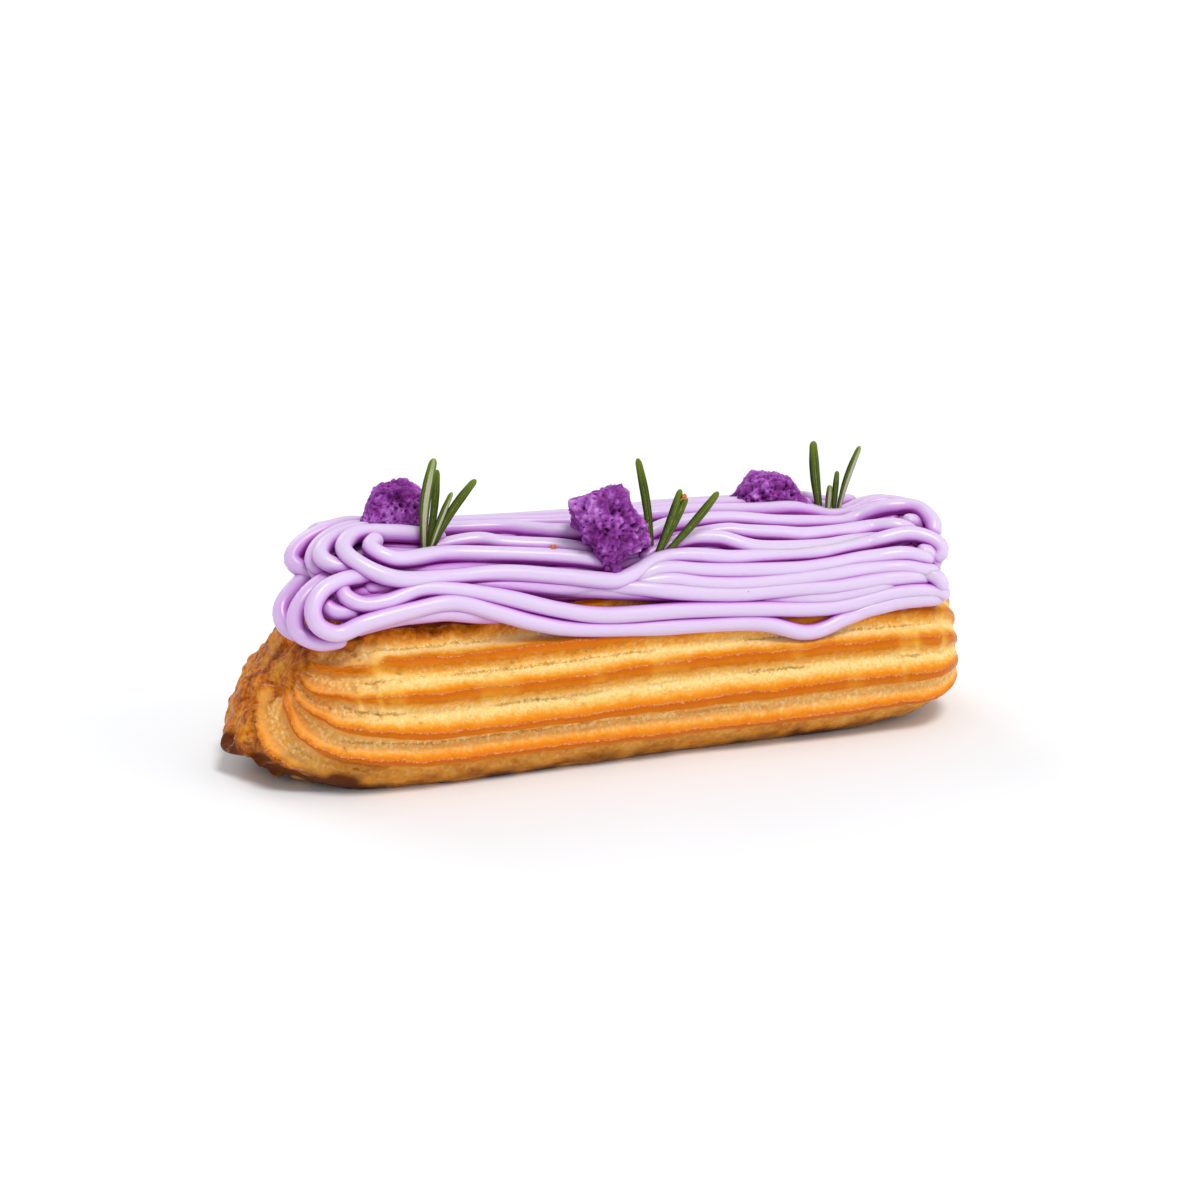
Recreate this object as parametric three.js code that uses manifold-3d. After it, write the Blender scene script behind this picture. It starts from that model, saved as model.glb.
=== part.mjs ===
// An eclair: a ridged choux shell with a flat base carries a heap of piped cream strands, which fold back
// at both ends. Three rough pieces of purple cake and three rosemary sprigs stand in the cream.
// Millimetres, +Z up. +X runs along the shell, -Y is the side with the cake pressed into the cream, and
// the origin lies on the flat base.
import * as THREE from "three";
import { ImprovedNoise } from "three/addons/math/ImprovedNoise.js";
import { LoftGeometry } from "three/addons/geometries/LoftGeometry.js";
import { mergeVertices } from "three/addons/utils/BufferGeometryUtils.js";
import Module from "manifold-3d";

const wasm = await Module();
wasm.setup();
const noise = new ImprovedNoise();

// Driving dimensions -------------------------------------------------------------------------------------

const gap = 0.3; // between pieces that touch

const shell = {
  left: -68, // x of the tip at each end, before the pinch leans it out
  right: 65.4,
  leftCap: 29, // length of each end's rounding
  rightCap: 13,
  halfWidth: 21.8, // at the left end; each of these three falls by its taper along the shell
  widthTaper: 3.4,
  height: 30.3,
  heightTaper: 4.6,
  waist: 10.5, // height of the widest line
  waistTaper: 1,
  crown: 1.2, // extra rise along the hidden top
  squareness: 2.25, // exponent of the section's superellipse
  ridges: 18,
  ridgeHeight: 1.6,
  ridgeAbove: 0.4, // share of a ridge that stands out of the section; the rest is groove
  firstRidge: 2.5, // degrees above the widest line
  twist: 7, // degrees that the ridges climb from the left end to the right
  poleUp: 33, // degrees that the left end's pole is turned up and to the near side
  poleNear: 22,
  lean: 0.5, // how far the left tip leans back as it rises
};

const cream = {
  strand: 1.25, // radius of a piped strand
  flush: 1.2, // depth of a strand's middle under the heap's outer face
  coreDepth: 2, // depth of the core that the strands are fused to
  left: -53, // ends of the core
  right: 58,
  squareness: 2.2,
  sides: 5,
  step: 7, // length of strand between two rings of its tube
  flaw: 0.06, // facets closer together than this are merged after the strands are joined
};

const cakeBump = 0.26; // height of the cake's bumps at the noise's full swing, as a share of its radius

const needle = {
  width: 1.7,
  thickness: 1.1,
  tip: 0.35, // share of the width left at the very tip
};

// Shared shapes ------------------------------------------------------------------------------------------

const radians = THREE.MathUtils.degToRad;
const clamp = THREE.MathUtils.clamp;
const smooth = (t) => THREE.MathUtils.smoothstep(t, 0, 1);
const bell = (x, middle, width) => Math.exp(-(((x - middle) / width) ** 2));

/** Distance from the middle to a superellipse of half axes 1, in the direction of a unit vector. */
function superReach(c, s, exponent) {
  return (Math.abs(c) ** exponent + Math.abs(s) ** exponent) ** (-1 / exponent);
}

/** Turns any closed geometry into a solid whose shared corners are one point. */
function solid(geometry) {
  const bare = new THREE.BufferGeometry();
  bare.setAttribute("position", geometry.getAttribute("position"));
  bare.setIndex(geometry.index);
  const merged = mergeVertices(bare, 1e-3);
  return new wasm.Manifold(
    new wasm.Mesh({
      numProp: 3,
      vertProperties: merged.attributes.position.array,
      triVerts: new Uint32Array(merged.index.array),
    }),
  );
}

/** A solid skinned through rings of points, which wind anticlockwise seen from its end; u is 0 to 1. */
function loft(rings, ringAt) {
  const sections = [];
  for (let i = 0; i <= rings; i++) sections.push(ringAt(i / rings));
  return solid(new LoftGeometry(sections, { capStart: true, capEnd: true }));
}

/** Points round a ring: pointAt(angle) for `sides` equal angles in radians. */
function ring(sides, pointAt) {
  return Array.from({ length: sides }, (_, i) => pointAt((2 * Math.PI * i) / sides));
}

const union = (solids) => solids.reduce((whole, one) => whole.add(one));

/** The largest of the bodies that a cut has left. */
function largestBody(cut) {
  const bodies = cut.decompose();
  return bodies.reduce((best, body) => (body.volume() > best.volume() ? body : best));
}

// Choux shell --------------------------------------------------------------------------------------------

const shellLength = shell.right - shell.left;
const leftCapEnd = 0.22; // shares of the loft's rings where the end roundings stop
const rightCapStart = 0.9;

/** Half width, top and widest height of the shell's section at x. */
function shellSection(x) {
  const along = (x - shell.left) / shellLength;
  return {
    halfWidth: shell.halfWidth - shell.widthTaper * along + 0.6 * Math.sin(3 * Math.PI * along),
    top: shell.height - shell.heightTaper * along,
    waist: shell.waist - shell.waistTaper * along,
  };
}

/** A point of the crust. u runs from the left pole to the right one, phi from the near side over the top. */
function crustPoint(u, phi, ridgeHeight, grow) {
  const capLeft = clamp(u / leftCapEnd, 0, 1) * (Math.PI / 2);
  const capRight = clamp((1 - u) / (1 - rightCapStart), 0, 1) * (Math.PI / 2);
  const turned = 1 - smooth(u / leftCapEnd);
  const direction = new THREE.Vector3(
    -Math.cos(capLeft),
    -Math.sin(capLeft) * Math.cos(phi),
    Math.sin(capLeft) * Math.sin(phi),
  );
  direction.applyAxisAngle(new THREE.Vector3(0, 1, 0), radians(shell.poleUp) * turned);
  direction.applyAxisAngle(new THREE.Vector3(0, 0, 1), radians(shell.poleNear) * turned);
  const straight = clamp((u - leftCapEnd) / (rightCapStart - leftCapEnd), 0, 1);
  const capMiddle = THREE.MathUtils.lerp(
    shell.left + shell.leftCap,
    shell.right - shell.rightCap,
    straight,
  );
  const x = capMiddle + shell.leftCap * direction.x + shell.rightCap * Math.cos(capRight);
  const { halfWidth, top, waist } = shellSection(x);
  const round = Math.hypot(direction.y, direction.z) + 1e-9;
  const c = direction.y / round;
  const s = direction.z / round;
  const reach = superReach(c, s, shell.squareness) * round ** 0.95 * Math.sin(capRight) ** 0.6;
  const rise = s > 0 ? top - waist : waist * 1.35;
  const crown = shell.crown * clamp(s, 0, 1) ** 6 * round;
  const y = halfWidth * reach * c;
  const z = rise * reach * s + crown;
  const climb = radians(shell.twist) * ((x - shell.left) / shellLength - 0.5);
  const crest = Math.cos((shell.ridges / 2) * (phi - radians(shell.firstRidge) - climb)) ** 2;
  const fade = clamp(Math.min(capLeft, capRight) / 0.5, 0, 1);
  const raised = ridgeHeight * (crest - 1 + shell.ridgeAbove) * fade + grow;
  const relief = 1 + raised / (Math.hypot(y, z) + 1e-6);
  const height = Math.max(waist + z * relief, 0);
  const leanBack = shell.lean * height * clamp(-direction.x, 0, 1);
  return new THREE.Vector3(x + leanBack, y * relief, height);
}

function crust(sides, rings, ridgeHeight, grow) {
  const pole = 0.004; // the first and last rings are this short of the poles
  return loft(rings, (u) =>
    ring(sides, (phi) => crustPoint(THREE.MathUtils.lerp(pole, 1 - pole, u), -phi, ridgeHeight, grow)),
  );
}

// Cream --------------------------------------------------------------------------------------------------

/** Half width, foot height and crest height of the heap's outer face at x. */
function heapSection(x) {
  const hump = 0.8 * bell(x, -41, 7) + 0.9 * bell(x, 19, 9) - 2.5 * bell(x, 45.5, 5);
  return { halfWidth: 17.6 - 0.01 * x, foot: 23.4 - 0.05 * x, crest: 38.7 - 0.02 * x + hump };
}

/** A point of the heap: mm along, degrees round it from the near foot over the crest, mm under its face. */
function heapPoint(x, degrees, depth) {
  const { halfWidth, foot, crest } = heapSection(x);
  const c = Math.cos(radians(degrees));
  const s = Math.sin(radians(degrees));
  const reach = superReach(c, s, cream.squareness);
  return new THREE.Vector3(
    x,
    -(halfWidth - depth) * reach * c,
    foot + (crest - foot - depth) * reach * s,
  );
}

// Knots of each strand: mm along, degrees round the heap, and mm under its face where it isn't flush.
const nearRows = {
  crownRow: [[-28, 93], [-21, 91], [-16, 88], [-9, 75], [-3, 66, 2.2]],
  crownRowRight: [
    [4, 66, 3], [12, 75], [20, 75], [31, 71], [43, 78], [50, 83], [56, 77], [59, 62], [57, 50, 2.4],
  ],
  second: [[-31, 70, 2.2], [-22, 72], [-18, 66], [-8, 59], [-2, 54, 2.2]],
  secondRight: [
    [5, 46, 3], [11, 54], [17, 58], [24, 56], [34, 55], [42, 62], [48, 64], [54, 53], [59, 42],
    [57, 33, 2.4],
  ],
  third: [
    [-33, 82, 0.6], [-39, 70, -0.4], [-41, 60, -0.4], [-38, 52, -0.2], [-29, 60], [-19, 56], [-9, 51],
    [-3, 47],
  ],
  thirdRight: [[4, 43, 2.2], [10, 46], [20, 47], [34, 47], [45, 54], [53, 49], [57, 44, 2]],
  fourth: [
    [-27, 76, 1], [-36, 77, 0], [-43, 72, -0.6], [-45.4, 61, -0.4], [-43, 49, 0.2], [-38, 40, 0.6],
    [-30, 41], [-20, 42], [-10, 37], [-1, 30], [7, 38], [18, 33], [33, 29], [45, 35], [52, 30],
    [58, 26, 1.8],
  ],
  fourthRight: [[-1, 35, 2.6], [7, 43, 1.6], [18, 40], [35, 36], [46, 46], [53, 40], [58, 31, 2]],
  underFourth: [[-43, 39, 3], [-30, 37, 2.6], [-20, 35, 2.6], [-10, 30, 2.6], [1, 24, 3.2]],
  fifth: [
    [-46.5, 44, 2.6], [-46.5, 34, 2.2], [-44, 26, 2], [-40, 26, 1.8], [-34, 34, 1.4], [-28, 32], [-21, 25],
    [-11, 14], [-4, 10], [13, 9], [30, 8], [38, 8], [47, 15], [56, 14], [60, 12, 1.6],
  ],
  fifthRight: [[3, 22, 3.4], [13, 24], [23, 24], [33, 21], [43, 26], [48, 28], [54, 23, 2]],
  overSixth: [[8, 17, 3.4], [22, 17], [28, 15], [38, 15], [47, 20], [53, 16, 2.4]],
  sixth: [
    [-40, 48, 2.2], [-46, 44, 1.4], [-50, 38, 1.4], [-52, 26, 1.8], [-51.5, 14, 1.8], [-48.5, 7, 1.4],
    [-44, 13], [-36, 20], [-29, 24], [-22, 16], [-16, 8], [-10, 2], [0, 0], [13, 0], [24, -1], [28, -5, 0.4],
    [33, -8, -0.2], [38, -3, 0.6], [44, 6], [50, 8], [57, 8, 1.6],
  ],
  underSixth: [[-47, 6, 2.8], [-42, 9, 2.2], [-34, 14, 2], [-28, 16, 2], [-21, 11, 2.4]],
};

const crownRows = {
  crownNear: [
    [-37, 100], [-17, 100], [-2, 90], [14, 87], [30, 86], [44, 90], [53, 93], [58, 84], [58, 70, 2.4],
  ],
  crownMiddle: [[-33, 109], [-10, 107], [8, 101], [22, 98], [34, 97], [46, 101], [55, 103], [59, 92, 1.6]],
  crownFar: [[-2, 117], [12, 113], [24, 109], [36, 108], [47, 112], [56, 114], [59, 104, 1.6]],
};

// Loops at the left end, each pair of limbs one strand; the far ones stand behind the near ones.
const leftLoops = {
  upperFar: [[-35, 107, 1], [-43, 99, 0.5], [-50, 93, 2], [-53.3, 86, 4], [-52.5, 80, 5.2], [-47, 70, 6]],
  upperMiddle: [
    [-36, 96, 1], [-43, 90, 0.6], [-48, 81, 1.6], [-49.6, 71, 3.2], [-48, 63, 4.1], [-43, 58, 4.4],
  ],
  upperNear: [
    [-34, 88, 1], [-42, 82, 0.2], [-47.5, 72, 0.5], [-48.8, 62, 1], [-46.5, 55, 1.7], [-41, 52, 2.4],
  ],
  lowerFar: [
    [-47, 78, 5], [-52, 74, 7.3], [-55.4, 60, 10.2], [-56, 36, 11.8], [-55, -12, 11.6], [-50, -16, 9],
  ],
  lowerMiddle: [
    [-46, 68, 4.6], [-52, 60, 6.4], [-54, 46, 8.2], [-54.3, 24, 9.1], [-53, 4, 9], [-48, -2, 7],
  ],
  lowerNear: [
    [-43, 56, 4.2], [-48, 55, 4.2], [-52.3, 43, 4.7], [-54.8, 24, 5.5], [-54.6, 6, 5.1], [-51.5, -2, 3.4],
    [-47, 1, 3.2],
  ],
  inner: [[-50, 34, 3.6], [-48.4, 24, 3.5], [-44, 21, 3.4]],
};

// The far side repeats these near strands turned half round, drawn together to leave room at the crown,
// and it ends short of the near side's loops.
const farStrands = [
  nearRows.crownRow,
  nearRows.crownRowRight,
  nearRows.second,
  nearRows.secondRight,
  nearRows.third,
  nearRows.thirdRight,
  nearRows.fourth,
  nearRows.fifth,
  nearRows.sixth,
  leftLoops.upperNear,
  leftLoops.lowerNear,
].map((knots) => knots.map(([x, degrees, depth]) => [7 - 0.9 * x, 183 - 0.92 * degrees, depth]));

// Short folds close the heap's right end: a column of them every few millimetres, one fold above another.
const endFolds = { columns: 5, spread: 10.5, x: 55, reach: 4.4, drop: 4.8, inset: 1.6 };

function endFoldPoints() {
  const { halfWidth, foot, crest } = heapSection(endFolds.x);
  const folds = [];
  for (let column = 0; column < endFolds.columns; column++) {
    const y = THREE.MathUtils.lerp(-endFolds.spread, endFolds.spread, column / (endFolds.columns - 1));
    const share = (1 - (Math.abs(y) / halfWidth) ** cream.squareness) ** (1 / cream.squareness);
    const top = foot + (crest - foot) * share - endFolds.inset;
    for (let z = top; z > foot + 3; z -= endFolds.drop) {
      const turn = [[0, 0], [0.7, -0.05], [1, -0.45], [0.7, -0.85], [0, -0.9]];
      folds.push(
        turn.map(([out, down]) => {
          const x = endFolds.x + endFolds.reach * out * (1 - 0.1 * Math.abs(y / halfWidth));
          return new THREE.Vector3(x, y, z + endFolds.drop * down);
        }),
      );
    }
  }
  return folds;
}

const strandPoints = (knots) =>
  knots.map(([x, degrees, depth = cream.flush]) => heapPoint(x, degrees, depth));

/** One strand: a five-sided tube through its points. */
function strandSolid(points) {
  const curve = new THREE.CatmullRomCurve3(points, false, "centripetal");
  const length = curve.getLength();
  const steps = Math.max(Math.ceil(length / cream.step), Math.min(points.length, 9));
  const section = new THREE.Shape(
    ring(cream.sides, (a) => new THREE.Vector2(cream.strand * Math.cos(a), cream.strand * Math.sin(a))),
  );
  return solid(new THREE.ExtrudeGeometry(section, { steps, extrudePath: curve }));
}

/** The heap's inside, rounded at both ends; its underside is cut to the shell later. */
function coreSolid() {
  const middle = (cream.left + cream.right) / 2;
  const half = (cream.right - cream.left) / 2;
  return loft(14, (u) => {
    const along = -Math.cos(Math.PI * THREE.MathUtils.lerp(0.03, 0.97, u));
    const close = (1 - Math.abs(along) ** (along > 0 ? 14 : 6)) ** 0.4;
    const x = middle + half * along;
    const { halfWidth, foot, crest } = heapSection(x);
    return ring(20, (a) => {
      const c = Math.cos(-a);
      const s = Math.sin(-a);
      const reach = superReach(c, s, cream.squareness) * close;
      const rise = s > 0 ? crest - foot - cream.coreDepth : 3;
      return new THREE.Vector3(x, -(halfWidth - cream.coreDepth) * reach * c, foot + rise * reach * s);
    });
  });
}

function creamSolid(cutters) {
  const laid = [...Object.values(nearRows), ...Object.values(crownRows), ...Object.values(leftLoops)];
  const knotted = [...laid, ...farStrands].map(strandPoints);
  const strands = [...knotted, ...endFoldPoints()].map(strandSolid);
  const heap = union([coreSolid(), ...strands]);
  return largestBody(heap.subtract(union(cutters)).asOriginal().simplify(cream.flaw));
}

// Cake ---------------------------------------------------------------------------------------------------

// Middle, half sizes, turns about X, Y and Z in degrees, how far the top leans in, and where in the noise.
const cakes = {
  cake_left: { at: [-33.2, 2.5, 41.2], half: [5.6, 5, 6], turn: [0, 12, 10], taper: 0.35, seed: 3.1 },
  cake_middle: { at: [-0.8, -10.2, 39.6], half: [6.3, 4.8, 6.8], turn: [18, 18, -8], taper: 0.1, seed: 8.4 },
  cake_right: { at: [33, 5, 36.8], half: [7.2, 5.5, 5.4], turn: [0, 6, -6], taper: 0.35, seed: 5.7 },
};

/** A rough block: a sphere squared off, narrowed to the top and roughened, `grow` larger all round. */
function cakeSolid({ at, half, turn, taper, seed }, grow) {
  const geometry = new THREE.IcosahedronGeometry(1, 2);
  const position = geometry.attributes.position;
  const point = new THREE.Vector3();
  for (let i = 0; i < position.count; i++) {
    point.fromBufferAttribute(position, i);
    const bump = noise.noise(2.3 * point.x + seed, 2.3 * point.y, 2.3 * point.z);
    const largest = Math.max(Math.abs(point.x), Math.abs(point.y), Math.abs(point.z));
    point.multiplyScalar((0.4 + 0.48 / largest) * (1 + cakeBump * bump));
    const lean = 1 - taper * smooth((point.z + 0.4) / 1.4);
    point.multiply(new THREE.Vector3(half[0] * lean + grow, half[1] * lean + grow, half[2] + grow));
    position.setXYZ(i, point.x, point.y, point.z);
  }
  geometry.rotateX(radians(turn[0])).rotateY(radians(turn[1])).rotateZ(radians(turn[2]));
  return solid(geometry.translate(...at));
}

// Rosemary -----------------------------------------------------------------------------------------------

// Each sprig's foot in the cream, and its needles: tip, width against the usual one, and sideways bow.
const sprigs = {
  rosemary_left: {
    foot: [-31, -7, 36.4],
    needles: [
      { tip: [-29.3, -6, 52.2], width: 1, bow: 0.4 },
      { tip: [-28, -3.6, 49.8], width: 0.75, bow: 0.5 },
      { tip: [-26.4, -7.6, 46.4], width: 0.8, bow: -0.4 },
      { tip: [-22.4, -6, 48.2], width: 0.85, bow: -0.8 },
    ],
  },
  rosemary_middle: {
    foot: [7.6, -11.2, 33.6],
    needles: [
      { tip: [4.9, -8, 50], width: 0.85, bow: 1 },
      { tip: [11.8, -12, 44.7], width: 1.15, bow: 0.3 },
      { tip: [17.8, -12, 44.2], width: 0.9, bow: 0.6 },
    ],
  },
  rosemary_right: {
    foot: [44.4, 2.2, 32.6],
    needles: [
      { tip: [40.9, 3, 47.6], width: 1, bow: 0.4 },
      { tip: [43.4, 1, 40], width: 0.7, bow: 0 },
      { tip: [45.3, 3.2, 41.9], width: 0.7, bow: 0 },
      { tip: [49.3, 2, 46.3], width: 0.8, bow: -0.8 },
    ],
  },
};

/** A needle: a flat leaf that is narrow at the foot, widest past the middle and round at the tip. */
function needleSolid(foot, { tip, width, bow }, grow) {
  const start = new THREE.Vector3(...foot);
  const end = new THREE.Vector3(...tip);
  const along = end.clone().sub(start).normalize();
  const across = new THREE.Vector3(0, 1, 0).cross(along).normalize();
  const through = along.clone().cross(across);
  return loft(5, (u) => {
    const spine = start.clone().lerp(end, u).addScaledVector(across, bow * Math.sin(Math.PI * u));
    const closing = THREE.MathUtils.lerp(1, needle.tip, smooth((u - 0.82) / 0.18));
    const swell = (0.62 + 0.38 * smooth(u / 0.6)) * closing;
    return ring(6, (a) =>
      spine
        .clone()
        .addScaledVector(across, ((width * needle.width * swell) / 2 + grow) * Math.cos(a))
        .addScaledVector(through, ((width * needle.thickness * swell) / 2 + grow) * Math.sin(a)),
    );
  });
}

function sprigSolid({ foot, needles }, grow) {
  return union(needles.map((one) => needleSolid(foot, one, grow)));
}

// The eclair ---------------------------------------------------------------------------------------------

const eclair = new THREE.Group();

function addPiece(name, made, colour, roughness) {
  const mesh = made.getMesh();
  const geometry = new THREE.BufferGeometry();
  geometry.setAttribute("position", new THREE.BufferAttribute(mesh.vertProperties, 3));
  geometry.setIndex(new THREE.BufferAttribute(mesh.triVerts, 1));
  geometry.computeVertexNormals();
  const material = new THREE.MeshStandardMaterial({ color: colour, roughness, metalness: 0 });
  const piece = new THREE.Mesh(geometry, material);
  piece.name = name;
  eclair.add(piece);
}

const crustSides = 4 * shell.ridges;
const crustRings = 22;
const bedSides = 36; // the bed is the crust without ridges, which the heap's underside is cut to
const bedRings = 28;
const bedGrow = shell.ridgeAbove * shell.ridgeHeight + gap + 0.25; // 0.25 clears the bed's flat facets

addPiece("shell", crust(crustSides, crustRings, shell.ridgeHeight, 0), 0xd98a35, 0.6);

const sprigCutters = Object.values(sprigs).map((sprig) => sprigSolid(sprig, gap));
const cakeCutters = Object.values(cakes).map((cake) => cakeSolid(cake, gap));
const bed = crust(bedSides, bedRings, 0, bedGrow);
addPiece("cream", creamSolid([bed, ...cakeCutters, ...sprigCutters]), 0xe6d3f2, 0.35);

const sprigClearance = union(sprigCutters);
for (const [name, cake] of Object.entries(cakes)) {
  addPiece(name, largestBody(cakeSolid(cake, 0).subtract(sprigClearance)), 0x84358c, 0.8);
}
for (const [name, sprig] of Object.entries(sprigs)) {
  addPiece(name, sprigSolid(sprig, 0), 0x697740, 0.5);
}

export default eclair;
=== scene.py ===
# %% [markdown]
# # An eclair with piped cream
#
# The real thing is a baked shell of choux pastry, piped through a star nozzle so that ridges run along
# it, with a heap of thin cream strands on top. Three torn pieces of purple sponge cake and three
# rosemary sprigs stand in the cream.
#
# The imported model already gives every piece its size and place. This notebook dresses it: each piece is
# worked out again as a fine surface over the solid that it stands for. Sizes in the notebook are
# millimetres, as a baker would measure them, and become metres when a mesh is made.

import bpy
import numpy as np
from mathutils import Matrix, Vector


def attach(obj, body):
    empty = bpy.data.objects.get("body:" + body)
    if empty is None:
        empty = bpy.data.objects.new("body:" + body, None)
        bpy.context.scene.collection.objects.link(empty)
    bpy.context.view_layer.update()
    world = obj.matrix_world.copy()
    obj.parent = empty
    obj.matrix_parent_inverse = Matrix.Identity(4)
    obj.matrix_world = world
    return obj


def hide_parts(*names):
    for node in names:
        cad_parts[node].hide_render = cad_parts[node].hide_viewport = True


MM = 0.001
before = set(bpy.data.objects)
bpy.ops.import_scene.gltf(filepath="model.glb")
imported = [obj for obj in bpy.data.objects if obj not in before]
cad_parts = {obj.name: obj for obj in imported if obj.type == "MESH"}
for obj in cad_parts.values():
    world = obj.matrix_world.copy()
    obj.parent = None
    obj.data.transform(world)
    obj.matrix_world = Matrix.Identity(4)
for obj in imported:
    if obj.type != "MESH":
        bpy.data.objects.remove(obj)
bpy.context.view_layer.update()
print("nodes:", ", ".join(sorted(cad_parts)))

# %% [markdown]
# ## Camera
#
# The photo was taken from a little above and from the left, with a long lens, so the far end is hardly
# smaller than the near one. The camera is placed first, because every later look is judged through it.

# %% Camera
CAMERA_AZIMUTH = -18.0  # degrees; 0 looks along +Y
CAMERA_ELEVATION = 18.0
CAMERA_DISTANCE = 480.0
CAMERA_AIM = Vector((0.0, 0.0, 16.0))
AIM_IN_PHOTO = (594.0, 642.0)  # pixels of the photo frame where the aim point shows
PHOTO_SIZE = 1200.0
PIXELS_PER_MM = 5.83  # at the aim point

azimuth, elevation = np.radians(CAMERA_AZIMUTH), np.radians(CAMERA_ELEVATION)
camera_back = Vector(
    (
        np.sin(azimuth) * np.cos(elevation),
        -np.cos(azimuth) * np.cos(elevation),
        np.sin(elevation),
    )
)
camera_data = bpy.data.cameras.new("camera")
camera_data.sensor_width = 36.0
camera_data.lens = camera_data.sensor_width * PIXELS_PER_MM * CAMERA_DISTANCE / PHOTO_SIZE
camera_data.shift_x = (PHOTO_SIZE / 2 - AIM_IN_PHOTO[0]) / PHOTO_SIZE
camera_data.shift_y = (AIM_IN_PHOTO[1] - PHOTO_SIZE / 2) / PHOTO_SIZE
camera_data.clip_start = 0.01
camera = bpy.data.objects.new("camera", camera_data)
camera.location = (CAMERA_AIM + camera_back * CAMERA_DISTANCE) * MM
camera.rotation_euler = camera_back.to_track_quat("Z", "Y").to_euler()
bpy.context.scene.collection.objects.link(camera)
bpy.context.scene.camera = camera
print("lens", round(camera_data.lens, 1), "mm")

# %% [markdown]
# ## Making a mesh from arrays
#
# Every piece is a tube-like skin: rings of points, one after another, closed at both ends. One helper
# turns such a grid into a mesh, so that each piece only has to say where its points are. Numbers that a
# material needs later, such as how rough the crust is, are kept at the points as attributes.


# %% Grids of points
def points_of(x, y, z):
    """Points from their x, y and z, each of which may be a grid, a row, a column or one number."""
    return np.stack(np.broadcast_arrays(x, y, z), axis=-1)


def angles_round(sides):
    """Evenly spaced angles once round, in radians."""
    return np.linspace(0, 2 * np.pi, sides, endpoint=False)


# %% A closed skin from rings of points
def skin_faces(rings, sides, first=0):
    """Corners of the faces over a grid: a quad between neighbouring rings, and one polygon on each end."""
    ring = np.arange(rings - 1)[:, None] * sides
    side = np.arange(sides)[None, :]
    beside = (side + 1) % sides
    quads = np.stack([ring + side, ring + beside, ring + sides + beside, ring + sides + side], axis=-1)
    ends = [np.arange(sides)[::-1] + first, np.arange(sides) + (rings - 1) * sides + first]
    return quads.reshape(-1, 4) + first, ends


def enclosed_volume(points, quads):
    """Volume within quads: the sum of the wedges between the origin and each half of a quad."""
    a, b, c, d = (points[quads[:, i]] for i in range(4))
    halves = np.einsum("ij,ij->i", a, np.cross(b, c)) + np.einsum("ij,ij->i", a, np.cross(c, d))
    return halves.sum() / 6


def skin(name, grids, attributes=None):
    """An object of closed skins, one for each (rings, sides, 3) grid, with values kept at its points."""
    points = np.concatenate([grid.reshape(-1, 3) for grid in grids])
    quads, ends, first = [], [], 0
    for grid in grids:
        rings, sides = grid.shape[:2]
        faces, caps = skin_faces(rings, sides, first)
        if enclosed_volume(points, faces) < 0:
            faces = faces[:, ::-1]
            caps = [cap[::-1] for cap in caps]
        quads.append(faces)
        ends += caps
        first += rings * sides
    corners = np.concatenate([np.concatenate(quads).ravel(), *ends]).astype(np.int32)
    sizes = np.array([4] * sum(len(q) for q in quads) + [len(end) for end in ends], dtype=np.int32)
    starts = np.concatenate([[0], np.cumsum(sizes)[:-1]]).astype(np.int32)
    mesh = bpy.data.meshes.new(name)
    mesh.vertices.add(len(points))
    mesh.vertices.foreach_set("co", (points * MM).astype(np.float32).ravel())
    mesh.loops.add(len(corners))
    mesh.loops.foreach_set("vertex_index", corners)
    mesh.polygons.add(len(sizes))
    mesh.polygons.foreach_set("loop_start", starts)
    mesh.polygons.foreach_set("use_smooth", np.ones(len(sizes), dtype=bool))
    mesh.update(calc_edges=True)
    mesh.validate()
    for key, values in (attributes or {}).items():
        flat = np.asarray(values, dtype=np.float32)
        vector = flat.ndim > 1 and flat.shape[-1] == 3 and flat.size == 3 * len(points)
        stored = mesh.attributes.new(key, "FLOAT_VECTOR" if vector else "FLOAT", "POINT")
        stored.data.foreach_set("vector" if vector else "value", flat.ravel())
    piece = bpy.data.objects.new(name, mesh)
    bpy.context.scene.collection.objects.link(piece)
    print(name, "faces", len(sizes))
    return piece


# %% [markdown]
# ## Seeded unevenness
#
# Pastry, crumb and cream are never even. Two kinds of noise make them uneven: a smooth one for swellings
# and waves, and a cell noise whose round pits make pores. Blender's Displace modifier could move the points
# too, but the colours need the same numbers, so the noise is worked out here. Both kinds draw on seeded
# tables of random numbers, so the eclair is the same on every run.


# %% Smooth noise and cell noise
def lattice_index(cell, seed):
    """A repeatable table index from 0 to 4095 for each whole-number lattice point."""
    mixed = cell[..., 0] * 73856093 ^ cell[..., 1] * 19349663 ^ cell[..., 2] * 83492791
    return (mixed ^ (seed * 2654435)) & 4095


def smooth_noise(points, size, seed):
    """About -1 to 1: random values at lattice points `size` apart, blended smoothly between them."""
    table = np.random.default_rng(7).uniform(-1, 1, 4096)
    scaled = np.asarray(points, dtype=float) / size
    base = np.floor(scaled).astype(np.int64)
    part = scaled - base
    weight = part * part * (3 - 2 * part)
    total = np.zeros(scaled.shape[:-1])
    for corner in np.ndindex(2, 2, 2):
        share = np.prod(np.where(corner, weight, 1 - weight), axis=-1)
        total += share * table[lattice_index(base + corner, seed)]
    return total


def layered_noise(points, size, seed, layers=3):
    """Smooth noise at `size`, plus finer layers, each half as large and half as strong as the last."""
    parts = [smooth_noise(points, size / 2**i, seed + i) / 2**i for i in range(layers)]
    return sum(parts)


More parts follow.
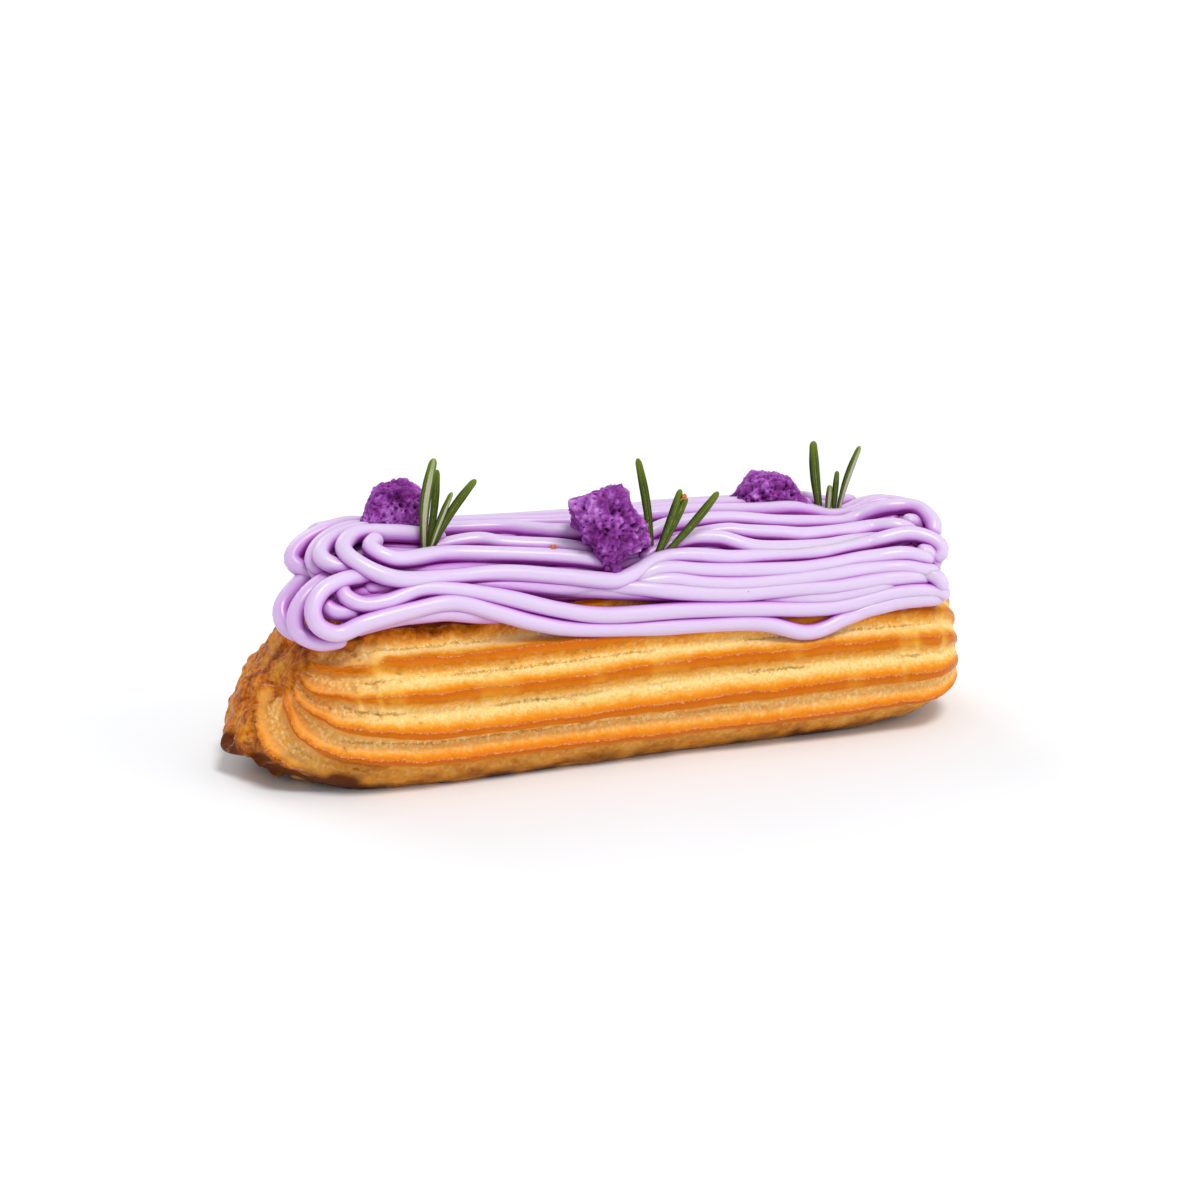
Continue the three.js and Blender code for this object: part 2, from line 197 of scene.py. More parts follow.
def cell_noise(points, size, seed):
    """Distance to the nearest of the random points, one in each cube of side `size`, in cube sides."""
    jitter = np.random.default_rng(11).uniform(0, 1, (4096, 3))
    scaled = np.asarray(points, dtype=float) / size
    base = np.floor(scaled).astype(np.int64)
    nearest = np.full(scaled.shape[:-1], 9.0)
    for step in np.ndindex(3, 3, 3):
        cell = base + step - 1
        middle = cell + jitter[lattice_index(cell, seed)]
        nearest = np.minimum(nearest, np.linalg.norm(scaled - middle, axis=-1))
    return nearest


def smoothstep(low, high, value):
    """0 below low, 1 above high, and an S-shaped rise between."""
    t = np.clip((value - low) / (high - low), 0, 1)
    return t * t * (3 - 2 * t)


def bell(value, middle, width):
    """1 at the middle, falling to about a third one width away."""
    return np.exp(-(((value - middle) / width) ** 2))


# %% [markdown]
# ## The choux shell
#
# The shell is a superellipse in section, flat where it lay on the tray, with a round left end whose pole
# is turned up towards the viewer, because there the pastry was pinched off the nozzle. Its ridges follow
# the nozzle's star. One function gives the plain form, and the ridges, cracks and pores are laid on it
# along the surface normal, so each can be tuned by itself.

# %% The plain form of the shell
SHELL_LEFT, SHELL_RIGHT = -68.0, 65.4
LEFT_CAP, RIGHT_CAP = 29.0, 13.0  # lengths of the round ends
LEFT_CAP_END, RIGHT_CAP_START = 0.22, 0.9  # where the round ends stop, as shares of the u parameter
SQUARENESS = 2.25
CROWN = 1.2
POLE_UP, POLE_NEAR = np.radians(20), np.radians(26)
LEAN = 0.5


def shell_section(x):
    """Half width, top and widest height of the shell at x; each falls a little from left to right."""
    along = (x - SHELL_LEFT) / (SHELL_RIGHT - SHELL_LEFT)
    half_width = 21.8 - 3.4 * along + 0.6 * np.sin(3 * np.pi * along)
    return half_width, 30.3 - 4.6 * along, 10.5 - along


def super_reach(c, s, exponent):
    """Distance to a superellipse of half axes 1 in the direction (c, s)."""
    return (np.abs(c) ** exponent + np.abs(s) ** exponent) ** (-1 / exponent)


def shell_form(u, phi):
    """The shell without ridges. u runs from the left pole (0) to the right one (1), and phi round it from
    the near side over the top. The left end is a quarter sphere with its pole turned, the middle a straight
    run, the right end a boxier cap, and what would lie below the tray is pressed flat."""
    cap_left = np.clip(u / LEFT_CAP_END, 0, 1) * np.pi / 2
    cap_right = np.clip((1 - u) / (1 - RIGHT_CAP_START), 0, 1) * np.pi / 2
    turned = 1 - smoothstep(0, LEFT_CAP_END, u)
    dx = -np.cos(cap_left)
    dy = -np.sin(cap_left) * np.cos(phi)
    dz = np.sin(cap_left) * np.sin(phi)
    up, near = POLE_UP * turned, POLE_NEAR * turned
    dx, dz = dx * np.cos(up) + dz * np.sin(up), dz * np.cos(up) - dx * np.sin(up)
    dx, dy = dx * np.cos(near) - dy * np.sin(near), dx * np.sin(near) + dy * np.cos(near)
    straight = np.clip((u - LEFT_CAP_END) / (RIGHT_CAP_START - LEFT_CAP_END), 0, 1)
    middle = SHELL_LEFT + LEFT_CAP + straight * (SHELL_RIGHT - RIGHT_CAP - SHELL_LEFT - LEFT_CAP)
    x = middle + LEFT_CAP * dx + RIGHT_CAP * np.cos(cap_right)
    half_width, top, waist = shell_section(x)
    round_ = np.hypot(dy, dz) + 1e-9
    c, s = dy / round_, dz / round_
    reach = super_reach(c, s, SQUARENESS) * round_**0.95 * np.sin(cap_right) ** 0.6
    y = half_width * reach * c
    z = np.where(s > 0, top - waist, waist * 1.35) * reach * s + CROWN * np.clip(s, 0, 1) ** 6 * round_
    z = np.maximum(waist + z, 0)
    x = x + LEAN * z * np.clip(-dx, 0, 1)
    return points_of(x, y, z)


def row_interp(values, stops, table):
    """For each row of values, the table's row interpolated at them; stops has one row for each too."""
    return np.array([np.interp(row, stop, line) for row, stop, line in zip(values, stops, table)])


# %% [markdown]
# The grid is fine where the shell shows and coarse under the cream and on the flat base. A piece may hold
# about 200,000 triangles, and this way its points lie about a quarter of a millimetre apart round the near
# side, close enough for narrow cracks.

# %% Grid over the shell
COLUMN_STOPS = np.radians([-40, 78, 102, 220, 320])  # near side, hidden top, far side, base
COLUMN_SHARES = np.array([0, 0.43, 0.48, 0.91, 1.0])
ROW_STOPS = np.array([0.004, LEFT_CAP_END, RIGHT_CAP_START, 0.996])
ROW_SHARES = np.array([0, 0.3, 0.86, 1.0])
SHELL_COLUMNS, SHELL_ROWS = ((396, 250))

phi_line = np.interp(np.arange(SHELL_COLUMNS) / SHELL_COLUMNS, COLUMN_SHARES, COLUMN_STOPS)
u_line = np.interp(np.linspace(0, 1, SHELL_ROWS), ROW_SHARES, ROW_STOPS)
u_grid, phi_grid = np.meshgrid(u_line, phi_line, indexing="ij")
form = shell_form(u_grid, phi_grid)


def surface_normals(grid):
    """Unit normals of a ring grid: the cross product of the steps along and round it, facing outwards."""
    along = np.gradient(grid, axis=0)
    around = (np.roll(grid, -1, axis=1) - np.roll(grid, 1, axis=1)) / 2
    normal = np.cross(around, along)
    return normal / (np.linalg.norm(normal, axis=-1, keepdims=True) + 1e-9)


form_normal = surface_normals(form)
if (form_normal[SHELL_ROWS // 2, :, 1] * form[SHELL_ROWS // 2, :, 1]).sum() < 0:
    form_normal = -form_normal
print("shell grid", form.shape[:2])

# %% [markdown]
# ### Where the ridges run
#
# The six ridges that the photo shows are given by their angle at a few places along the shell, because a
# plain twist wouldn't follow them. The other twelve are evenly spaced over the far side and the base, and
# the foot of the near side stays smooth. Near the left end the ridges curl up to the point where the nozzle
# let go. Every point then knows which ridge it is on and how far above the ridge's crest it lies, as a
# share of the distance to the next ridge.

# %% Ridge lines
ridge_lines = [  # (u, degrees round the shell) from the lowest of the near ridges up
    [(0.024, -160), (0.03, -148), (0.032, -120), (0.04, -90), (0.056, -71), (0.075, -59), (0.094, -50),
     (0.11, -46), (0.12, -42), (0.2, -38), (1, -38)],
    [(0.01, -31), (0.031, -30), (0.06, -26), (0.091, -19), (0.131, -15), (0.172, -13), (0.205, -14),
     (0.24, -17), (0.28, -18), (0.42, -18), (0.58, -19), (0.68, -18), (0.78, -17), (0.87, -15)],
    [(0.012, 5), (0.031, -11), (0.059, -5), (0.098, 2), (0.164, 5), (0.204, 4), (0.238, 2), (0.276, 1),
     (0.42, 1), (0.58, 3), (0.72, 5), (0.87, 6)],
    [(0.024, 31), (0.035, 15), (0.053, 12), (0.08, 15), (0.108, 19), (0.156, 21), (0.28, 20), (0.42, 21),
     (0.58, 24), (0.87, 26)],
    [(0.036, 56), (0.053, 42), (0.092, 36), (0.137, 36), (0.173, 35), (0.206, 38), (0.223, 37), (0.317, 36),
     (0.426, 38), (0.59, 40), (0.755, 43)],
    [(0.039, 80), (0.063, 65), (0.098, 57), (0.138, 53), (0.161, 52), (0.217, 51), (0.28, 52), (0.342, 52),
     (0.6, 59), (0.87, 62)],
]
HIDDEN_RIDGES, HIDDEN_SPACES = 12, 15  # three spaces stay free below the near side
# The u at which each ridge starts, from the last hidden ridge once round to the second near one.
RIDGE_STARTS = [0.14, 0.02, 0.0, 0.02, 0.028, 0.04, 0.05] + [0.14] * HIDDEN_RIDGES + [0.02, 0.0]
seen = np.array([np.interp(u_line, *np.array(line).T) for line in ridge_lines]).T
free = seen[:, :1] + 360 - seen[:, -1:]
hidden = seen[:, -1:] + free * np.arange(1, HIDDEN_RIDGES + 1) / HIDDEN_SPACES
centres = np.hstack([hidden[:, -1:] - 360, seen, hidden, seen[:, :2] + 360])
numbers = np.tile(np.arange(-1, centres.shape[1] - 1), (SHELL_ROWS, 1))

sway = 0.8 * smooth_noise(form * [1, 0.3, 0.3], 9.0, 3) + 0.5 * smooth_noise(form, 2.2, 4)
turns = row_interp(np.degrees(phi_grid) + sway, centres, numbers)
ridge_number = np.round(turns)
above = turns - ridge_number
print("ridges:", int(ridge_number.max() - ridge_number.min()))

# %% [markdown]
# ### Ridges, cracks and pores
#
# A ridge is a soft bank with a crisp lip along its upper edge; it is a thin cord at the left end and a
# broad bank further on. Here and there it is broken across. Between two ridges the dough tore open as it
# rose, so a jagged crack runs along the valley, with small pores on both sides. The left end was torn off
# the nozzle and baked rough and knobbly. It could be sculpted by hand, but as masks from 0 to 1 and one sum
# of heights, each mark can be moved or made weaker by a single number.

# %% How strong each ridge is
RIDGE_HEIGHT = 1.7
RIDGE_ABOVE = 0.4  # share of a ridge that stands out of the plain form; the rest is groove
breaks = [  # ridge number, x, width
    (3, -45.9, 0.8), (3, -42.6, 0.6), (4, -42.5, 1.3), (5, -44.4, 0.6), (3, 52.3, 0.7), (3, 58.3, 0.8),
    (4, 50.9, 0.6), (4, 58.1, 0.8), (2, 49.6, 0.5), (5, 47.5, 0.6), (5, 55.5, 0.8),
]
x_form, z_form = form[..., 0], form[..., 2]
phi_degrees = np.degrees(phi_grid)

cap_left_angle = np.clip(u_grid / LEFT_CAP_END, 0, 1) * np.pi / 2
cap_right_angle = np.clip((1 - u_grid) / (1 - RIGHT_CAP_START), 0, 1) * np.pi / 2
# The ridges fade out towards both poles and on the smooth belt along the foot.
pole_fade = np.clip(cap_left_angle / 0.2, 0, 1) * smoothstep(0.0, 1.45, cap_right_angle)
belt = smoothstep(-4, -7, phi_degrees - seen[:, 1:2]) + smoothstep(206, 214, phi_degrees)
belt = belt * smoothstep(0.09, 0.16, u_grid)

# They are broken in a few places, begin where the nozzle let go, and are weak here and there.
broken = sum(bell(x_form, x, width) * (ridge_number == number) for number, x, width in breaks)
first_u = np.array(RIDGE_STARTS)[ridge_number.astype(int) + 1]
start = smoothstep(first_u - 0.008, first_u + 0.008, u_grid + 0.008 * smooth_noise(form, 1.5, 5))
weak = smoothstep(0.35, 0.8, smooth_noise(points_of(x_form / 5, ridge_number * 3.3, 0), 1.0, 6))
ridge_strength = pole_fade * start * (1 - 0.85 * np.clip(broken, 0, 1)) * (1 - 0.35 * weak) * (1 - 0.9 * belt)
print("mean strength of the ridges:", round(ridge_strength.mean(), 2))

# %% The bank of a ridge
# It rises quickly from below, has a thin lip at the crest and falls off slowly above it. At the left end it
# is squeezed to a cord.
narrow = 1 + 1.4 * smoothstep(0.26, 0.06, u_grid)
offset = np.clip(above * narrow, -0.5, 0.5)
bank = smoothstep(-0.4, -0.15, offset) * smoothstep(0.48, -0.06, offset)
bank = bank * (1 + 0.12 * bell(offset, 0.0, 0.05))
ridge_height = RIDGE_HEIGHT * (bank - 1 + RIDGE_ABOVE)

# %% Cracks and pores in the valleys
valley = 0.5 - np.abs(above)
crack_open = smoothstep(-0.3, 0.4, smooth_noise(form * [1, 1.5, 1.5], 9.0, 9))
crack_open = crack_open * smoothstep(0.1, 0.17, u_grid) * (1 - belt) * smoothstep(60, 48, x_form)
crack_open = crack_open * np.where((ridge_number + np.sign(above) * 0.5 < 1) & (above < 0), 0.3, 1)
crack = crack_open * smoothstep(0.09, 0.0, valley + 0.04 * smooth_noise(form, 1.1, 8))

# Pores come in fields beside the cracks, and fewer to the right.
pores = smoothstep(0.3, 0.12, cell_noise(form * [0.7, 1, 1], 1.3, 12) + 0.15 * smooth_noise(form, 0.5, 13))
pore_fields = smoothstep(0.2, 0.6, smooth_noise(form, 4.0, 14) + 0.5 - 2.2 * valley)
pores = pores * pore_fields * smoothstep(50, -10, x_form)
print("share with cracks:", round((crack > 0.5).mean(), 3), "with pores:", round((pores > 0.5).mean(), 3))

# %% The rough end and its shoulder
rough = smoothstep(0.13, 0.05, u_grid) * smoothstep(68, 88, phi_degrees)
rough = rough * smoothstep(-3, -9, phi_degrees - 360 - seen[:, :1])
shoulder = smoothstep(44, 49, phi_degrees) * smoothstep(76, 68, phi_degrees)
shoulder = shoulder * smoothstep(0.42, 0.36, u_grid) * smoothstep(0.07, 0.1, u_grid)
rough = np.clip(rough + smoothstep(0.022, 0.008, u_grid) + (1 - start) + 0.8 * shoulder, 0, 1)
knobs = 0.9 * smooth_noise(form, 3.2, 16) + 0.5 * smooth_noise(form, 1.4, 17)

# %% Add up the relief
CRACK_DEPTH, PORE_DEPTH, KNOB_HEIGHT = 0.15, 0.3, 0.95
SWELLING = 2.4  # where the crust rises between the strands, in the middle of the near side

height = ridge_height * ridge_strength * (1 - 0.45 * rough)
height = height - CRACK_DEPTH * crack - PORE_DEPTH * pores + KNOB_HEIGHT * rough * knobs
crumbly = smoothstep(0.45, 0.1, valley) * (1 - rough)
height = height + SWELLING * bell(x_form, 0, 12) * bell(phi_degrees, 52, 12)
height = height + 0.16 * layered_noise(form, 5.0, 18)
height = height + (0.03 + 0.05 * crumbly) * layered_noise(form, 0.8, 21, 2)

# %% Lay it on the form and settle the foot
TORN_TIP = np.array([-63.7, -2.6, 5.0])  # a spur of crust low on the left end

crust_points = form + form_normal * height[..., None]
tip = np.linalg.norm(crust_points - TORN_TIP, axis=-1)
crust_points[..., 0] -= 1.8 * bell(tip, 0, 2.2)
low = smoothstep(8, 0, z_form)
crust_points[..., 0] -= (0.9 * smoothstep(24, 12, z_form) + 1.6 * low) * smoothstep(50, 64, x_form)
crust_points[..., 1] += low * np.interp(x_form, [-45, -28, -5, 12, 30, 50], [0, -1.6, -1.2, 0, 0.8, 0.8])
crust_points[..., 2] += low * (1.3 * smoothstep(-44, -60, x_form) + 2.0 * smoothstep(36, 62, x_form))
crust_points[..., 2] = np.maximum(crust_points[..., 2], 0)
print("relief from", round(height.min(), 2), "to", round(height.max(), 2), "mm")

# %% [markdown]
# ### What the crust's material needs to know
#
# Heat browns what stands out, so the crust's colour follows the ridges. The place across a ridge is kept
# as a point on a circle, because a plain number would jump from one ridge to the next in mid-face. With it
# go how worn the ridge is here, how open the crack is, where the pores are, and four masks: the rough end,
# the smooth belt along the foot, the darker edge along the foot, which is partly scorched on the tray and
# partly painted shade, and the low sides, whose shade is painted warmer in place of light bounced into it.

# %% Masks for the crust
ridge_circle = np.stack([np.cos(2 * np.pi * above), np.sin(2 * np.pi * above), narrow - 1], -1)
worn = np.clip(np.clip(broken, 0, 1) + 0.5 * weak, 0, 1)
# The foot and the torn tip are darker: partly scorched on the tray, partly painted shade low on the shell.
scorch_and_shade = smoothstep(4, 0.6, z_form) * 0.75 + 1.5 * smoothstep(8, 3.4, z_form) * smoothstep(-40, -56, x_form)
scorch_and_shade = scorch_and_shade * (0.7 + 1.3 * smooth_noise(form, 2.6, 19)) + smoothstep(4, 1.5, tip)
# Painted light: the low sides lie in shade, and this mask makes their colour warmer in place of light bounced
# into it.
low_side_bounce = 0.7 * (smoothstep(14, -12, phi_degrees) + smoothstep(166, 192, phi_degrees))
crust_masks = {
    "low_side_bounce": low_side_bounce.ravel(),
    "ridge": ridge_circle.reshape(-1, 3),
    "worn": worn.ravel(),
    "crack_open": crack_open.ravel(),
    "pores": pores.ravel(),
    "rough": rough.ravel(),
    "belt": belt.ravel(),
    "scorch_and_shade": np.clip(scorch_and_shade, 0, 1).ravel(),
}

# %% Build the shell
shell_piece = skin("choux_shell", [crust_points], crust_masks)
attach(shell_piece, "root")
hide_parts("shell")

# %% [markdown]
# ## The cream heap
#
# The cream was piped through a small round nozzle in one long thread that runs to and fro. A displaced
# block would only look grooved, so every strand is a tube of its own. The heap's outer face is a
# superellipse that stands on the shell. Each strand is given by a few knots: how far along it lies, how far
# round the heap, and how deep under the heap's face. A smooth curve goes through the knots and a round tube
# goes along the curve.

# %% The heap's face
CREAM_SQUARENESS = 2.2
STRAND_RADIUS = 1.42
FLUSH = 1.2  # depth of a strand's middle under the heap's face


def heap_section(x):
    """Half width, foot height and crest height of the heap's face at x, with two humps and a dip."""
    hump = 0.8 * bell(x, -41, 7) + 0.9 * bell(x, 19, 9) - 2.5 * bell(x, 45.5, 5)
    return 17.6 - 0.01 * x, 23.4 - 0.05 * x, 38.7 - 0.02 * x + hump


def heap_point(x, degrees, depth):
    """A point of the heap, `depth` under its face; degrees run from the near foot over the crest."""
    half_width, foot, crest = heap_section(x)
    c, s = np.cos(np.radians(degrees)), np.sin(np.radians(degrees))
    reach = super_reach(c, s, CREAM_SQUARENESS)
    y = -(half_width - depth) * reach * c
    z = foot + (crest - foot - depth) * reach * s
    return points_of(x, y, z)


# %% Knots of the strands on the near side
# (mm along, degrees round, mm under the face); a knot without a depth lies flush with the heap's face
near_rows = {
    "crown_row": [(-28, 93), (-21, 91), (-16, 88), (-9, 77), (-3, 71), (1, 66, 2.6)],
    "crown_row_right": [
        (4, 62, 3), (9.8, 70), (13.6, 72), (22.6, 71), (30.6, 68), (42.6, 75), (46.4, 84), (50, 84),
        (53.4, 81), (56, 79), (57.8, 74), (58.6, 65), (58.8, 57), (58, 49, 2),
    ],
    "second": [(-31, 70, 2.2), (-22, 72), (-18, 66), (-8, 59), (-3, 54, 1.8)],
    "second_right": [
        (14, 62, 2.4), (21, 61, 1.6), (24, 59, 1.4), (30, 57), (34, 55), (41.8, 62), (48, 67), (51.8, 60),
        (53.6, 57, 1.6), (55.6, 55, 3),
    ],
    "third": [
        (-39, 70, -0.2), (-41, 60, -0.4), (-38, 52, -0.2), (-29, 60), (-19, 56), (-9, 51), (-4, 47),
        (-0.5, 43, 1.8),
    ],
    "third_right": [
        (4.6, 47, 2.6), (7.6, 52, 1.8), (11, 54), (14, 56), (19, 54), (21, 51), (23, 48), (25.6, 46),
        (36.6, 46), (41.8, 52), (45.4, 59, 1.6), (48.8, 56, 2), (52.2, 53, 2.8),
    ],
    "fourth": [
        (-27, 76, 1), (-36, 77, 0), (-43, 72, -0.6), (-45.4, 61, -0.4), (-43, 49, 0.2), (-38, 40, 0.6),
        (-30, 41), (-20, 42), (-10, 37), (-3.6, 33), (-1, 32), (1.4, 34), (3.8, 38), (6.6, 43), (9.2, 45),
        (13, 44), (19.8, 40), (25.2, 41), (30.8, 42), (36.4, 43), (41.4, 49), (46, 55, 1.4), (48.6, 54),
        (53.2, 52), (55.8, 49), (57.4, 45, 1), (58.4, 41, 0.9), (58.4, 37, 1.2), (56.6, 34, 2.4),
    ],
    "fourth_right": [
        (1.2, 30, 2.6), (3.4, 33, 1.8), (6.4, 37), (9.2, 37), (14, 34), (19.4, 32), (32, 32), (37.6, 34),
        (42.6, 40), (47.4, 42), (51.4, 39), (54, 36), (55.6, 34, 1.4), (56, 31, 2.2),
    ],
    "under_right": [
        (1.8, 29, 2.4), (5, 30, 1.6), (8.6, 30), (13.8, 26), (19, 24), (24.4, 24), (31.8, 26), (37.4, 28),
        (42.2, 32), (47, 34), (51.6, 30), (54.4, 27), (56.4, 25), (56.2, 22, 2),
    ],
    "under_fourth": [
        (-43, 39, 3), (-30, 37, 2.8), (-20, 35, 2.6), (-10, 31, 2.6), (-3, 29, 2.4), (0.2, 28, 2),
        (4, 26, 1.4), (6.6, 24), (13.6, 20), (20.6, 18), (26, 19), (31.6, 20), (37, 20), (41.8, 23),
        (46.6, 26), (51.2, 24), (54.2, 23, 1.6), (55.6, 21, 2.4),
    ],
    "shaded": [(-15, 32, 3), (-8.4, 30, 2.8), (-1.6, 27, 2.6), (5.4, 23, 2.6), (10.6, 19, 3.2)],
    "fifth": [
        (-46.5, 44, 2.6), (-46.5, 34, 2.2), (-44, 26, 2), (-40, 26, 1.8), (-34, 34, 1.4), (-28, 32),
        (-21, 26), (-11, 15), (-4, 10), (11.6, 10), (26, 8), (31.4, 7), (36.8, 7), (40.6, 9), (43.4, 12),
        (47, 15), (51, 15), (54, 14), (56.2, 13), (57.6, 12, 1), (58, 9, 1.8),
    ],
    "over_sixth": [
        (20, 14, 3.2), (23.6, 13, 2.4), (28, 14, 2), (31.8, 14, 1.8), (37.2, 14, 1.6), (42.8, 18, 1.5),
        (47.4, 21, 1.6), (50.4, 20, 2.6),
    ],
    "end_turn": [(54, 25.5, 2), (55.6, 24, 1.2), (56.8, 21, 0.8), (57.4, 17, 0.8), (57.2, 13, 1.4)],
    "sixth": [
        (-40, 48, 2.2), (-46, 44, 1.4), (-50, 38, 1.4), (-52, 26, 1.8), (-51.5, 14, 1.8), (-48.5, 7, 1.4),
        (-44, 13), (-36, 20), (-29, 24), (-22, 16), (-16, 8), (-10, 2.5), (0, 0), (13, 0), (20.4, 0),
        (24.4, -1, 1), (26.6, -2.5, 0.7), (29.4, -5.5, 0.4), (31.2, -7, 0.2), (33.4, -7.2, 0.2),
        (36, -5, 0.4), (38.4, -1.5, 0.7), (41.4, 1.5), (43.8, 5), (46.2, 7), (49.8, 9), (54, 9.5),
        (57, 10, 1.5), (58, 13, 2.6),
    ],
    "under_sixth": [
        (-46, 8, 3), (-41.6, 13, 2.4), (-37.6, 16, 2.2), (-33, 17.5, 2.2), (-30, 18, 2.2), (-25, 15, 2.4),
        (-20, 12, 4.4),
    ],
}
print("near strands:", len(near_rows))

# %% Knots on the crown and of the loops at the left end
crown_rows = {
    "crown_near": [
        (-37, 100), (-17, 100), (-2, 90), (14, 87), (30, 86), (36, 88), (44, 93), (48, 94), (52, 94),
        (55, 91, 1.6), (57.4, 85, 2.2), (58.4, 77, 3),
    ],
    "crown_middle": [
        (-33, 109), (-10, 107), (8, 101), (22, 98), (34, 97), (46, 101), (50.5, 103, 1.4), (54, 103, 1.8),
        (56.5, 99, 2.4), (58, 91, 3.2),
    ],
    "crown_far": [
        (-2, 117), (12, 113), (24, 109), (36, 108), (47, 112), (51, 113, 1.8), (54.5, 112, 2.4),
        (57, 108, 3), (58, 98, 4),
    ],
}
left_loops = {
    "upper_far": [
        (-35, 107, 1), (-43, 99, 0.5), (-50, 93, 2), (-52.2, 86, 4), (-51.2, 80, 5.2), (-47, 70, 6),
    ],
    "upper_middle": [
        (-36, 96, 1), (-43, 90, 0.6), (-48, 81, 1.6), (-49.6, 71, 3.2), (-48, 63, 4.1), (-43, 58, 4.4),
    ],
    "upper_near": [
        (-34, 88, 1), (-42, 82, 0.2), (-47.5, 72, 0.5), (-48.8, 62, 1), (-46.5, 55, 1.7), (-41, 52, 2.4),
    ],
    "lower_far": [
        (-47, 78, 5), (-51.5, 74, 7.3), (-54.6, 60, 10), (-55.2, 36, 11.4), (-54.2, -10, 11.2),
        (-50, -16, 9),
    ],
    "lower_near": [
        (-43, 56, 4.2), (-47.5, 55, 4.2), (-51.8, 43, 4.7), (-54.2, 24, 5.5), (-54, 6, 5.1), (-51, -2, 3.4),
        (-46.5, 1, 3.2),
    ],
    "inner": [(-50, 34, 3.6), (-48.4, 24, 3.5), (-44, 21, 3.4)],
}

for rows in (near_rows, crown_rows, left_loops):
    rows.update({name: [(*knot, FLUSH)[:3] for knot in row] for name, row in rows.items()})
print("crown strands:", len(crown_rows), "left loops:", len(left_loops))

# %% [markdown]
# The far side isn't in the photo. It repeats strands of the near side turned half round, drawn together a
# little, so that it looks piped by the same hand. Short folds close both ends, where the thread turned back
# on each pass.

# %% Far side and end folds
NEAR_ONLY = ("shaded", "end_turn", "under_sixth")  # strands that aren't repeated
FAR_MIDDLE, FAR_LENGTH = 7, 0.9  # mm at which the near side's middle lands, and the share of length kept
FAR_FOOT, FAR_SPREAD = 183, 0.92  # the same for the degrees round the heap

repeated = [row for name, row in near_rows.items() if name not in NEAR_ONLY]
repeated += [left_loops["upper_near"], left_loops["lower_near"]]
far_rows = [
    [(FAR_MIDDLE - FAR_LENGTH * x, FAR_FOOT - FAR_SPREAD * degrees, depth) for x, degrees, depth in row]
    for row in repeated
]

FOLD_REACH, FOLD_DROP, FOLD_INSET = 3.6, 4.8, 2.4
FOLD_TURN = np.array([(0, 0), (0.7, -0.05), (1, -0.45), (0.7, -0.85), (0, -0.9)])  # out and down, in shares


def end_folds(end, outwards, columns):
    """Knots of each fold: it leaves the heap, turns down one drop and goes back in, column by column."""
    half_width, foot_height, crest = heap_section(end)
    folds = []
    for column, y in enumerate(columns):
        share = (1 - abs(y / half_width) ** CREAM_SQUARENESS) ** (1 / CREAM_SQUARENESS)
        top = foot_height + (crest - foot_height) * share - FOLD_INSET - 1.6 * (column % 2)
        for z in np.arange(top, foot_height + 2, -FOLD_DROP):
            out = end + outwards * FOLD_REACH * FOLD_TURN[:, 0] * (1 - 0.1 * abs(y / half_width))
            folds.append(points_of(out, y, z + FOLD_DROP * FOLD_TURN[:, 1]))
    return folds


folds = end_folds(54.0, 1, np.linspace(-12.5, 12.5, 9)) + end_folds(-45.6, -1, np.linspace(-4.5, 6.5, 5))
print("far strands:", len(far_rows), "end folds:", len(folds))

# %% [markdown]
# ### From knots to tubes
#
# The curve through the knots is a centripetal Catmull-Rom curve: it never overshoots at tight turns, just
# as a soft thread doesn't. The tube's rings are set square to the curve. Rings crowd together at the two
# ends, where the radius closes like a half ball.

# %% A smooth path through knots
RING_STEP = 0.8
END_TURN = np.radians([4, 25, 45, 62, 77])  # where the rings of a rounded end lie on its half ball


def smooth_path(knots, step):
    """Points about `step` apart on a centripetal Catmull-Rom curve: on each span a cubic whose end slopes
    come from the two neighbouring spans, with the square root of a span's length as its duration."""
    knots = np.asarray(knots, dtype=float)
    padded = np.vstack([2 * knots[0] - knots[1], knots, 2 * knots[-1] - knots[-2]])
    span = np.linalg.norm(np.diff(padded, axis=0), axis=1)[:, None] ** 0.5
    before, here, after = span[:-2], span[1:-1], span[2:]
    p0, p1, p2, p3 = padded[:-3], padded[1:-2], padded[2:-1], padded[3:]
    slope1 = ((p1 - p0) / before - (p2 - p0) / (before + here) + (p2 - p1) / here) * here
    slope2 = ((p2 - p1) / here - (p3 - p1) / (here + after) + (p3 - p2) / after) * here
    t = np.linspace(0, 1, 24, endpoint=False)[:, None, None]
    dense = (
        (2 * t**3 - 3 * t**2 + 1) * p1
        + (t**3 - 2 * t**2 + t) * slope1
        + (-2 * t**3 + 3 * t**2) * p2
        + (t**3 - t**2) * slope2
    )
    dense = np.vstack([dense.transpose(1, 0, 2).reshape(-1, 3), knots[-1]])
    run = np.concatenate([[0], np.cumsum(np.linalg.norm(np.diff(dense, axis=0), axis=1))])
    length = run[-1]
    inner = np.linspace(STRAND_RADIUS, length - STRAND_RADIUS, max(int(length / step), 4))
    turn = STRAND_RADIUS * (1 - np.cos(END_TURN))
    marks = np.concatenate([turn, inner, length - turn[::-1]])
    return np.stack([np.interp(marks, run, dense[:, i]) for i in range(3)], axis=-1), marks, length


# %% A tube along the path
STRAND_SIDES = 20


